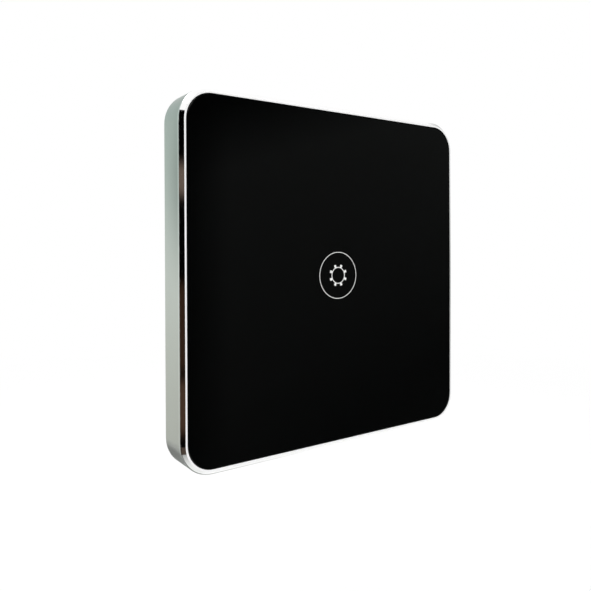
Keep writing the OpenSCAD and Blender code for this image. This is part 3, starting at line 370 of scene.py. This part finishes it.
# Varistor, fuse and rectifier: a disc dipped in blue lacquer, a round fuse in a brown moulded cap
# and four diodes in one black moulded block. Lacquer runs a little and shines, and the others are dull.
blue_lacquer = grained(
    "dipped_blue_lacquer", "#23479a", "#2f59b4", grit=1.2, roughness=0.25, relief=0.05, Coat_Weight=0.4,
)
brown_phenolic = grained("moulded_brown_phenolic", "#43301f", "#543e2b", grit=0.4, roughness=0.45, edge=0.2)
dress(blue_lacquer, "varistor")
dress(brown_phenolic, "fuse")
dress(black_pbt, "rectifier")

# Screw terminals: a green polyamide block with three brass tongues.
# Each wire goes in under a tongue, and a plated screw draws the brass cage up against it.
green_polyamide = grained(
    "moulded_green_polyamide", "#2f7d3f", "#3b8d4b", grit=0.4, roughness=0.45, edge=0.2, IOR=1.53,
)
screw_steel = rolled("nickel_plated_steel", "#8e8b82", "#aba79c", roughness=0.28, along="Y")
dress(green_polyamide, "terminal_body")
dress(brass, "terminal_tongues", "clamp_cage_live", "clamp_cage_neutral", "clamp_cage_load")
dress(screw_steel, "terminal_screw_live", "terminal_screw_neutral", "terminal_screw_load")

# Inner cover: the moulded tray that closes the box and clamps the wall plate under its flange.
# It is the same off-white ABS as the box, held by four pan-head screws in the box's bosses.
dress(white_abs, "inner_cover")
dress(screw_steel, "housing_screws")

# Touch board: a second printed board, screwed on two posts of the tray.
# It carries the sensor chip, its resistors and capacitors, and two small lamps behind the mark.
dress(laminate("fr4_touch_laminate", "#16482c", "#23683f", track_pitch=1.4), "touch_board")
dress(screw_steel, "board_screws")
tinned_end = "#c4c6c8"
# The chip is moulded in speckled black epoxy, and its leads stand out above and below.
chip_low, chip_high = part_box("touch_chip")
chip_middle_z = (chip_low.z + chip_high.z) / 2
chip_half = 1.95 * MM
chip_speck = 0.15 * MM
chip_plastic, tree, shader, place = new_finish("chip_in_black_epoxy")
up = add(tree, "SeparateXYZ", {0: place}).outputs["Z"]
off_middle = add(tree, "Math", {0: up, 1: chip_middle_z}, operation="SUBTRACT").outputs[0]
reach = add(tree, "Math", {0: off_middle}, operation="ABSOLUTE").outputs[0]
lead = add(tree, "Math", {0: reach, 1: chip_half}, operation="GREATER_THAN").outputs[0]
specks = add(tree, "TexNoise", {"Vector": place, "Scale": 1 / chip_speck, "Detail": 2})
epoxy = add(tree, "Mix", {
    0: specks.outputs["Fac"], MIX_A: linear("#141516"), MIX_B: linear("#242628"),
}, data_type="RGBA")
tinned = add(tree, "Mix", {
    0: lead, MIX_A: epoxy.outputs[MIX_OUT], MIX_B: linear(tinned_end),
}, data_type="RGBA")
gloss = add(tree, "MapRange", {"Value": lead, "To Min": 0.6, "To Max": 0.3})
tree.links.new(tinned.outputs[MIX_OUT], shader["Base Color"])
tree.links.new(lead, shader["Metallic"])
tree.links.new(gloss.outputs["Result"], shader["Roughness"])
dress(chip_plastic, "touch_chip")
# The small parts are fired ceramic, mottled brown, with a tinned cap at each end.
ceramic_speck = 0.3 * MM
ceramic, tree, shader, place = new_finish("fired_ceramic_with_tinned_ends")
facing = add(tree, "SeparateXYZ", {0: add(tree, "TexCoord").outputs["Normal"]}).outputs["X"]
endways = add(tree, "Math", {0: facing}, operation="ABSOLUTE").outputs[0]
end = add(tree, "Math", {0: endways, 1: FACES_AXIS}, operation="GREATER_THAN").outputs[0]
specks = add(tree, "TexNoise", {"Vector": place, "Scale": 1 / ceramic_speck, "Detail": 3})
fired = add(tree, "Mix", {
    0: specks.outputs["Fac"], MIX_A: linear("#7d6a4c"), MIX_B: linear("#9b886a"),
}, data_type="RGBA")
tipped = add(tree, "Mix", {
    0: end, MIX_A: fired.outputs[MIX_OUT], MIX_B: linear(tinned_end),
}, data_type="RGBA")
tree.links.new(tipped.outputs[MIX_OUT], shader["Base Color"])
tree.links.new(end, shader["Metallic"])
dress(ceramic, "touch_passives")
milky_epoxy = grained(
    "cast_milky_epoxy", "#e9e6cf", "#f3f1df", grit=0.6, roughness=0.3, Subsurface_Weight=0.2,
)
dress(milky_epoxy, "indicator_leds")
dress(black_pbt, "header_spacer")
dress(brass, "header_pins")

# Touch spring: the electrode, one length of nickel-plated spring wire.
# Its straight leg is soldered in the board, and the open coil presses on the panel behind the mark.
coil_radius = 4.5 * MM
wire_radius = 0.3 * MM
leg_bend = 0.8 * MM
leg_past_board = 0.9 * MM
coil_turns = 3.5
turn_steps = 32
coil_foot = 1 * MM
coil_top = 4.8 * MM
leg_foot = -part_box("touch_board")[1].y - leg_past_board
bend_z = coil_foot - leg_bend
steps = round(coil_turns * turn_steps)
spring = bmesh.new()
bmesh.ops.create_circle(
    spring, radius=wire_radius, segments=12, matrix=Matrix.Translation((coil_radius, -leg_bend, leg_foot)),
)
wire_end = grown(spring, spring.edges[:], Matrix.Translation((0, 0, bend_z - leg_foot)))[1]
wire_end = bmesh.ops.spin(
    spring, geom=wire_end, cent=(coil_radius, 0, bend_z), axis=(1, 0, 0), angle=-math.pi / 2, steps=8,
)["geom_last"]
bmesh.ops.spin(
    spring, geom=[g for g in wire_end if isinstance(g, bmesh.types.BMEdge)], cent=(0, 0, 0), axis=(0, 0, 1),
    angle=coil_turns * math.tau, steps=steps, dvec=(0, 0, (coil_top - coil_foot) / steps),
)
bmesh.ops.holes_fill(spring, edges=[e for e in spring.edges if e.is_boundary])
# The wire is round, and its two cut ends are flat.
for face in spring.faces:
    face.smooth = len(face.verts) == 4
out_of_wall = Matrix.Rotation(math.pi / 2, 4, "X")
bmesh.ops.transform(spring, matrix=out_of_wall, verts=spring.verts)
spring_wire = rolled("nickel_plated_spring_wire", "#bdb9ac", "#d8d4c6", roughness=0.25, along="X")
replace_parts(piece("touch_spring_wire", spring, spring_wire, "base"), "touch_spring")

# Mounting yoke: the wall plate, blanked and drawn from 1.2 mm steel and bright zinc plated.
# Its collars take the front's push studs, and screws through its slots hold it to the wall box.
dress(zinc_steel, "mounting_yoke")

# Panel carrier: the black ABS moulding behind the glass, whose split studs push into the wall plate.
# A milky disc in its light collar spreads the lamps' light behind the mark.
black_abs = grained("moulded_black_abs", "#121314", "#1b1d1e", grit=0.5, roughness=0.5, edge=0.25, IOR=1.53)
milky_polycarbonate = grained(
    "moulded_milky_polycarbonate", "#e6e7e4", "#f2f3f0", grit=0.5, roughness=0.35, IOR=1.58,
    Subsurface_Weight=0.3,
)
dress(black_abs, "panel_carrier")
dress(milky_polycarbonate, "light_diffuser")

# Bezel frame: an extruded aluminium section, mitred and welded into a square with round corners.
# Its sides are bead-blasted and anodised satin, and the chamfer is cut bright with a diamond after that.
# The narrow lip round the glass is drawn white and not metal, so it scatters the light: a painted highlight
# in place of the lip's bright reflection.
chamfer = 0.9 * MM
edge_round = 0.08 * MM
tone_size = 25 * MM
lip_roughness = 0.45
# The blasting's grain and the cutter's lines are really finer, and are drawn as coarse as they need to show.
blast_grain = 0.35 * MM
blast_relief = 0.012 * MM
cutter_line = 0.4 * MM
cutter_relief = 0.0015 * MM
chamfer_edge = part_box("bezel_frame")[0].y + chamfer
satin_aluminium, tree, shader, place = new_finish("satin_anodised_aluminium")
facing = add(tree, "SeparateXYZ", {0: add(tree, "TexCoord").outputs["Normal"]}).outputs["Y"]
at = add(tree, "SeparateXYZ", {0: place}).outputs
# The sides face across, the chamfer faces halfway to the front, at -0.7, and the lip straight there, at -1.
milled = add(tree, "Math", {0: facing, 1: -0.35}, operation="LESS_THAN").outputs[0]
lip = add(tree, "Math", {0: facing, 1: -0.9}, operation="LESS_THAN").outputs[0]
grains = add(tree, "TexNoise", {"Vector": place, "Scale": 1 / blast_grain, "Detail": 4}).outputs["Fac"]
clouds = add(tree, "TexNoise", {"Vector": place, "Scale": 1 / tone_size, "Detail": 2}).outputs["Fac"]
lines = add(tree, "TexNoise", {"Vector": place, "Scale": 1 / cutter_line, "Detail": 2}).outputs["Fac"]
satin = add(tree, "Mix", {0: clouds, MIX_A: linear("#b4b8b4"), MIX_B: linear("#bcbfbb")}, data_type="RGBA")
# Painted shade: the side is painted darker towards the chamfer in the upper half, for the darker reflection
# there.
shade_depth = 7 * MM
shade_z = 21 * MM
shade_reach = 23 * MM
shade_full = 3 * MM
forward = add(tree, "MapRange", {
    "Value": at["Y"], "From Min": chamfer_edge + shade_depth, "From Max": chamfer_edge,
}).outputs["Result"]
off_height = add(tree, "Math", {0: at["Z"], 1: shade_z}, operation="SUBTRACT").outputs[0]
near_height = add(tree, "MapRange", {
    "Value": add(tree, "Math", {0: off_height}, operation="ABSOLUTE").outputs[0],
    "From Min": shade_reach, "From Max": shade_full,
}).outputs["Result"]
upper_front_shade = add(tree, "Math", {0: forward, 1: near_height}, operation="MULTIPLY").outputs[0]
# Painted highlight: the side is painted a little brighter next to the chamfer, as the light strip along that
# edge.
highlight_band = 0.75 * MM
edge_highlight = add(tree, "MapRange", {
    "Value": at["Y"], "From Min": chamfer_edge + highlight_band, "From Max": chamfer_edge + highlight_band / 2,
}).outputs["Result"]
# The upright sides are drawn with a fine dark line next to the chamfer.
dark_line = 0.11 * MM
straight_half = 35 * MM
off_middle = add(tree, "Math", {0: at["Z"]}, operation="ABSOLUTE").outputs[0]
upright = add(tree, "Math", {0: off_middle, 1: straight_half}, operation="LESS_THAN").outputs[0]
by_chamfer = add(tree, "Math", {
    0: at["Y"], 1: chamfer_edge + dark_line,
}, operation="LESS_THAN").outputs[0]
line = add(tree, "Math", {0: upright, 1: by_chamfer}, operation="MULTIPLY").outputs[0]
layers = [(upper_front_shade, "#969a97"), (edge_highlight, "#cdd0cd"), (line, "#161616"), (milled, "#fdfdfd")]
# Painted shade: the chamfer is painted darker at its outer edge along the bottom, most at the left, and all
# over at the upper right corner, and the lip is painted darker in the middle of the right side, for darker
# reflections there. Each patch fades in from where the metal keeps its tone to where it is darkest, in mm.
shade_band = 0.22 * MM
outer_edge = add(tree, "Math", {0: at["Y"], 1: chamfer_edge - shade_band}, operation="GREATER_THAN").outputs[0]
low_chamfer_shade = add(tree, "Math", {0: outer_edge, 1: milled}, operation="MULTIPLY").outputs[0]
chamfered = add(tree, "Math", {0: milled, 1: lip}, operation="SUBTRACT").outputs[0]
for shaded, shade_tone, limits in (
    (low_chamfer_shade, "#8f9290", ((at["Z"], -33, -40), (at["X"], -8, -40))),
    (chamfered, "#9a9d9b", ((at["Z"], 34, 39), (at["X"], 33, 38))),
    (lip, "#969997", ((at["X"], 38, 41.8), (off_middle, 45, 5))),
):
    for where, unshaded, dull in limits:
        nearer = add(tree, "MapRange", {
            "Value": where, "From Min": unshaded * MM, "From Max": dull * MM,
        }).outputs["Result"]
        shaded = add(tree, "Math", {0: shaded, 1: nearer}, operation="MULTIPLY").outputs[0]
    layers.append((shaded, shade_tone))
tone = satin.outputs[MIX_OUT]
for where, colour in layers:
    tone = add(tree, "Mix", {
        0: where, MIX_A: tone, MIX_B: linear(colour),
    }, data_type="RGBA").outputs[MIX_OUT]
blasted = add(tree, "MapRange", {"Value": grains, "To Min": 0.28, "To Max": 0.42}).outputs["Result"]
turned = add(tree, "MapRange", {"Value": lines, "To Min": 0.03, "To Max": 0.09}).outputs["Result"]
cut = add(tree, "Mix", {"Factor": lip, "A": turned, "B": lip_roughness}).outputs["Result"]
matt = add(tree, "Mix", {"Factor": milled, "A": blasted, "B": cut}).outputs["Result"]
# Painted highlight: the lip is white and not metal, so it shows as a bright line.
metal = add(tree, "Math", {0: 1, 1: lip}, operation="SUBTRACT").outputs[0]
soft_edge = add(tree, "Bevel", {"Radius": edge_round}, samples=6)
relief = add(tree, "MapRange", {
    "Value": milled, "To Min": blast_relief, "To Max": cutter_relief,
}).outputs["Result"]
bump = add(tree, "Bump", {"Distance": relief, "Height": grains, "Normal": soft_edge.outputs["Normal"]})
tree.links.new(tone, shader["Base Color"])
tree.links.new(metal, shader["Metallic"])
tree.links.new(matt, shader["Roughness"])
tree.links.new(bump.outputs["Normal"], shader["Normal"])
dress(satin_aluminium, "bezel_frame")

# Adhesive tape: a die-cut ring of black closed-cell foam, sticky on both sides.
# It holds the glass on the frame's ledge, and its cells show as a fine open grain.
foam_tape = grained("die_cut_foam_tape", "#1a1a1a", "#262626", grit=0.2, roughness=0.85, relief=0.08)
dress(foam_tape, "adhesive_tape")

# Glass panel: 3 mm float glass, tempered and enamelled black on its back.
# From the front it is deep black and mirror-smooth, with only the faintest smears from wiping.
# The fired enamel on the back is dull.
smear = 18 * MM
enamel_roughness = 0.5
black_glass, tree, shader, place = new_finish("black_backed_tempered_glass", IOR=1.52)
smears = add(tree, "TexNoise", {
    "Vector": place, "Scale": 1 / smear, "Detail": 5, "Distortion": 1.5,
}).outputs["Fac"]
wiped = add(tree, "MapRange", {"Value": smears, "To Min": 0.015, "To Max": 0.05}).outputs["Result"]
tone = add(tree, "Mix", {0: smears, MIX_A: linear("#020202"), MIX_B: linear("#040505")}, data_type="RGBA")
facing = add(tree, "SeparateXYZ", {0: add(tree, "TexCoord").outputs["Normal"]}).outputs["Y"]
back = add(tree, "Math", {0: facing, 1: FACES_AXIS}, operation="GREATER_THAN").outputs[0]
matt = add(tree, "Mix", {"Factor": back, "A": wiped, "B": enamel_roughness}).outputs["Result"]
tree.links.new(tone.outputs[MIX_OUT], shader["Base Color"])
tree.links.new(matt, shader["Roughness"])
dress(black_glass, "glass_panel")

# Touch mark: a thin ring round a toothed ring, screen printed on the glass in opaque white ink.
# The ink lies a few hundredths of a millimetre high and is finely mottled by the screen.
ink_h = 0.03 * MM
mark_above_middle = 0.3 * MM
ring_radius = 5.86 * MM
ring_line = 0.15 * MM
ring_sides = 160
cog_hole = 1.93 * MM
cog_root = 2.13 * MM
cog_tip = 2.8 * MM
cog_corner = 0.12 * MM
cog_teeth = 8
tooth_pitch = math.tau / cog_teeth
tooth_angle = math.radians(15)
cog_sides = 18 * cog_teeth
glass_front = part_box("glass_panel")[0].y
on_glass = Matrix.Translation((0, glass_front, mark_above_middle)) @ out_of_wall
white_ink = grained(
    "screen_printed_white_ink", "#f0f1ef", "#f8f8f6", grit=0.25, roughness=0.55, edge=0.02, relief=0.005,
)

ring = bmesh.new()
flat_ring(ring, ring_radius - ring_line / 2, ring_radius + ring_line / 2, ring_sides)
grown(ring, ring.faces[:], Matrix.Translation((0, 0, ink_h)))
bmesh.ops.transform(ring, matrix=on_glass, verts=ring.verts)
piece("mark_ring", ring, white_ink, "front_panel")

cog = bmesh.new()
rim = flat_ring(cog, cog_hole, cog_root, cog_sides)


def in_tooth(edge):
    """Whether a rim edge lies under a tooth: the teeth stand half a pitch off the upright."""
    middle = (edge.verts[0].co + edge.verts[1].co) / 2
    past_tooth = math.atan2(middle.y, middle.x) % tooth_pitch - tooth_pitch / 2
    return abs(past_tooth) < tooth_angle / 2


tips, tip_edges = grown(cog, [e for e in rim if in_tooth(e)], Matrix.Scale(cog_tip / cog_root, 4))
corners = [v for v in tips if sum(e in tip_edges for e in v.link_edges) == 1]
bmesh.ops.bevel(
    cog, geom=corners, offset=cog_corner, affect="VERTICES", segments=4, profile=0.5, material=-1,
)
grown(cog, cog.faces[:], Matrix.Translation((0, 0, ink_h)))
bmesh.ops.transform(cog, matrix=on_glass, verts=cog.verts)
piece("mark_cog", cog, white_ink, "front_panel")

# Studio: a wide white floor well below the switch, soft lamps overhead and a white room all round.
# The background is white to the eye and in the bright metal, while the light on the object stays plain.
# Lengths here are in metres.
floor_z = -0.16
floor_half = 6
floor_near = 0.25
floor_far = 0.9
floor_glow = 0.06
room_light = 0.78
studio = bpy.context.scene
studio.view_settings.view_transform = "Standard"


def seen(tree):
    """1 where a ray shows the background: straight to the eye, in a mirror or through glass."""
    ray = add(tree, "LightPath").outputs
    shown = ray["Is Camera Ray"]
    for other in ("Is Glossy Ray", "Is Transmission Ray"):
        shown = add(tree, "Math", {0: shown, 1: ray[other]}, operation="MAXIMUM").outputs[0]
    return shown


world = bpy.data.worlds.new("white_room")
studio.world = world
world.use_nodes = True
tree = world.node_tree
level = add(tree, "MapRange", {"Value": seen(tree), "To Min": room_light, "To Max": 1})
tree.links.new(level.outputs["Result"], tree.nodes["Background"].inputs["Strength"])
tree.nodes["Background"].inputs["Color"].default_value = linear("#ffffff")


def staged(name, shape, material):
    """Makes a bmesh a piece of the studio."""
    mesh = bpy.data.meshes.new(name)
    shape.to_mesh(mesh)
    shape.free()
    mesh.materials.append(material)
    made = bpy.data.objects.new(name, mesh)
    studio.collection.objects.link(made)
    return made


# The paper floor takes the switch's shadow, and further off it fades into the room.
paper, tree, shader, place = new_finish(
    "white_paper_floor", Roughness=0.9, Base_Color=linear("#e7e7e7"), Emission_Color=linear("#ffffff"),
)
shown = seen(tree)
glow = add(tree, "MapRange", {"Value": shown, "To Max": floor_glow})
tree.links.new(glow.outputs["Result"], shader["Emission Strength"])
from_switch = add(tree, "VectorMath", {0: place}, operation="LENGTH").outputs["Value"]
far = add(tree, "MapRange", {
    "Value": from_switch, "From Min": floor_near, "From Max": floor_far,
}, interpolation_type="SMOOTHSTEP").outputs["Result"]
room = add(tree, "MapRange", {"Value": shown, "To Min": room_light, "To Max": 1}).outputs["Result"]
wall = add(tree, "Emission", {"Strength": room}).outputs[0]
faded = add(tree, "MixShader", {0: far, 1: tree.nodes["Principled BSDF"].outputs[0], 2: wall}).outputs[0]
tree.links.new(faded, tree.nodes["Material Output"].inputs["Surface"])
ground = bmesh.new()
bmesh.ops.create_grid(
    ground, x_segments=1, y_segments=1, size=floor_half, matrix=Matrix.Translation((0, 0, floor_z)),
)
staged("floor", ground, paper)

# Each lamp is a soft disc that points at the switch, with its place and its power in watts.
lamps = {
    "front_left_lamp": ((-0.5, -0.45, 1.2), 4),
    "front_right_lamp": ((0.55, -0.4, 1.2), 3.5),
    "back_lamp": ((0.2, 0.7, 1.0), 4),
}
lamp_size = 0.8
for name, (stand, power) in lamps.items():
    light = bpy.data.lights.new(name, "AREA")
    light.shape = "DISK"
    light.size = lamp_size
    light.energy = power
    lamp = bpy.data.objects.new(name, light)
    lamp.location = stand
    lamp.rotation_mode = "QUATERNION"
    lamp.rotation_quaternion = (-Vector(stand)).to_track_quat("-Z", "Y")
    studio.collection.objects.link(lamp)

# Cards: they stand, or lie on the floor, where the glass, the chamfer and the satin side mirror the room.
# Only mirrored rays see them: they shade nothing and leave the light as it is. Their edges fade.


def card(name, centre, facing, half_width, half_height, fade, shade):
    """A card with soft edges; shade(tree, across, up) gives its emission."""
    made = bpy.data.materials.new(name)
    made.use_nodes = True
    tree = made.node_tree
    tree.nodes.clear()
    along = add(tree, "SeparateXYZ", {0: add(tree, "TexCoord").outputs["UV"]}).outputs
    fades = []
    for axis, half in (("X", half_width), ("Y", half_height)):
        out = add(tree, "Math", {0: along[axis]}, operation="ABSOLUTE").outputs[0]
        fades.append(add(tree, "MapRange", {
            "Value": out, "From Min": half, "From Max": half - fade,
        }, interpolation_type="SMOOTHSTEP").outputs["Result"])
    solid = add(tree, "Math", {0: fades[0], 1: fades[1]}, operation="MULTIPLY").outputs[0]
    clear = add(tree, "BsdfTransparent").outputs[0]
    mixed = add(tree, "MixShader", {0: solid, 1: clear, 2: shade(tree, along["X"], along["Y"])}).outputs[0]
    add(tree, "OutputMaterial", {"Surface": mixed})
    shape = bmesh.new()
    bmesh.ops.create_grid(
        shape, x_segments=1, y_segments=1, size=1, matrix=Matrix.Diagonal((half_width, half_height, 1, 1)),
    )
    # A card's own X, across, and Y, up, are its UV map, in metres. Those that shade across face the wall or
    # lie on the floor, and there X runs to the left of one who faces the switch.
    on_card = shape.loops.layers.uv.verify()
    for face in shape.faces:
        for loop in face.loops:
            loop[on_card].uv = loop.vert.co.xy
    turned = Vector(facing).to_track_quat("Z", "Y").to_matrix().to_4x4()
    bmesh.ops.transform(shape, matrix=Matrix.Translation(centre) @ turned, verts=shape.verts)
    panel = staged(name, shape, made)
    for ray in ("camera", "diffuse", "transmission", "volume_scatter", "shadow"):
        setattr(panel, "visible_" + ray, False)


def dusk(tree, across, up):
    """Nearly black: lighter upwards, most on the right, and quite black at the left and the top left."""
    more_on_right = -4
    left_gain = 0.5
    left_share = 0.3
    lean = add(tree, "Math", {0: across, 1: more_on_right, 2: 1}, operation="MULTIPLY_ADD").outputs[0]
    aside = add(tree, "Math", {0: across, 1: left_gain}, operation="MULTIPLY").outputs[0]
    slope = add(tree, "Math", {0: up, 1: lean, 2: aside}, operation="MULTIPLY_ADD").outputs[0]
    level = add(tree, "MapRange", {
        "Value": slope, "From Min": -0.11, "From Max": 0.09, "To Min": 0.026, "To Max": 0.105,
    }).outputs["Result"]
    high_left = add(tree, "Math", {0: across, 1: left_share, 2: up}, operation="MULTIPLY_ADD").outputs[0]
    for where, black, lit in ((across, 0.086, 0.056), (high_left, 0.135, 0.088)):
        fade = add(tree, "MapRange", {"Value": where, "From Min": black, "From Max": lit}).outputs["Result"]
        level = add(tree, "Math", {0: level, 1: fade}, operation="MULTIPLY").outputs[0]
    return add(tree, "Emission", {"Color": linear("#eef2ee"), "Strength": level}).outputs[0]


def brown_room(tree, across, up):
    """Black, with a warm brown glow at some heights."""
    blur = 0.004
    glows = add(tree, "Emission", {"Strength": 0}).outputs[0]
    for height, half, glow, tint in (
        (0.0515, 0.0071, 0.122, "#ffdfc8"),
        (-0.016, 0.0197, 0.027, "#ffb98d"),
        (-0.053, 0.012, 0.053, "#ffc49f"),
        (-0.119, 0.028, 0.067, "#ffdcc4"),
    ):
        off = add(tree, "Math", {0: up, 1: height}, operation="SUBTRACT").outputs[0]
        out = add(tree, "Math", {0: off}, operation="ABSOLUTE").outputs[0]
        band = add(tree, "MapRange", {
            "Value": out, "From Min": half + blur, "From Max": half - blur, "To Max": glow,
        }, interpolation_type="SMOOTHSTEP").outputs["Result"]
        lit = add(tree, "Emission", {"Color": linear(tint), "Strength": band}).outputs[0]
        glows = add(tree, "AddShader", {0: glows, 1: lit}).outputs[0]
    return glows


def dull_day(tree, across, up):
    """Warm grey at the foot, then a white band, grey-green and at the top a plain grey."""
    rise = add(tree, "MapRange", {"Value": up, "From Min": -0.295, "From Max": 0.305}).outputs["Result"]
    ramp = add(tree, "ValToRGB", {"Fac": rise})
    stops = ramp.color_ramp.elements
    stops.remove(stops[1])
    stops[0].color = linear("#cbcbc3")
    for height, colour in (
        (0.125, "#e6e8e1"),
        (0.24, "#fafffb"),
        (0.33, "#d3e1db"),
        (0.5, "#c8d8d4"),
        (0.85, "#c8c8c8"),
    ):
        stops.new(height).color = linear(colour)
    return add(tree, "Emission", {"Color": ramp.outputs["Color"], "Strength": 1.13}).outputs[0]


felt_tint = "#f6f8f6"


def felt(start, end):
    """Grey felt whose level changes evenly across, from one (place, level) to another."""
    def shade(tree, across, up):
        level = add(tree, "MapRange", {
            "Value": across, "From Min": start[0], "From Max": end[0], "To Min": start[1], "To Max": end[1],
        }).outputs["Result"]
        return add(tree, "Emission", {"Color": linear(felt_tint), "Strength": level}).outputs[0]
    return shade


def black_felt(tree, across, up):
    """The same felt, all over nearly black."""
    return add(tree, "Emission", {"Color": linear(felt_tint), "Strength": 0.05}).outputs[0]


# The first two are wide, and darken the glass in views from other sides.
card_gap = 0.001
card(
    "front_card", centre=(0.1, -0.6, 0.1), facing=(0, 1, 0),
    half_width=1, half_height=0.5, fade=0.25, shade=black_felt,
)
card(
    "front_floor_card", centre=(0.1, -0.5, floor_z + card_gap), facing=(0, 0, 1),
    half_width=1, half_height=0.35, fade=0.15, shade=black_felt,
)
card(
    "glass_card", centre=(0.137, -0.202, -0.015), facing=(-0.137, 0.202, 0),
    half_width=0.125, half_height=0.155, fade=0.035, shade=dusk,
)
card(
    "chamfer_card", centre=(-0.18, -0.07, -0.013), facing=(0.18, 0.07, 0),
    half_width=0.04, half_height=0.145, fade=0.008, shade=brown_room,
)
card(
    "side_card", centre=(-0.018, 0.356, 0.145), facing=(0.185, -0.206, 0),
    half_width=0.425, half_height=0.3, fade=0.03, shade=dull_day,
)
# The last two lie on the floor, for the round lower left corner and the edges beside it.
card(
    "floor_card", centre=(0.05, 0.24, floor_z + 2 * card_gap), facing=(0, 0, 1),
    half_width=0.2, half_height=0.1, fade=0.03, shade=felt((-0.14, 0.5), (-0.02, 0.11)),
)
card(
    "corner_card", centre=(-0.14, -0.04, floor_z + 2 * card_gap), facing=(0, 0, 1),
    half_width=0.14, half_height=0.1, fade=0.03, shade=felt((0.06, 0.35), (-0.07, 0.92)),
)

# Camera: it stands to the left of the switch, level with it, as the photograph was taken.
# The yaw is to the right of straight at the wall. The picture is shifted to fit, and hardly tilted.
camera_at = (-0.0966, -0.12975, 0.0078)
camera_yaw = math.radians(34.58)
camera_pitch = math.radians(-0.39)
camera_roll = math.radians(-0.21)
lens = bpy.data.cameras.new("camera")
lens.sensor_width = 36
lens.lens = 37.0
lens.shift_y = -0.0768
camera = bpy.data.objects.new("camera", lens)
level_camera = Matrix.Rotation(math.pi / 2, 4, "X")
camera.matrix_world = (
    Matrix.Translation(camera_at)
    @ Matrix.Rotation(-camera_yaw, 4, "Z")
    @ Matrix.Rotation(camera_pitch, 4, "X")
    @ level_camera
    @ Matrix.Rotation(camera_roll, 4, "Z")
)
studio.collection.objects.link(camera)
studio.camera = camera
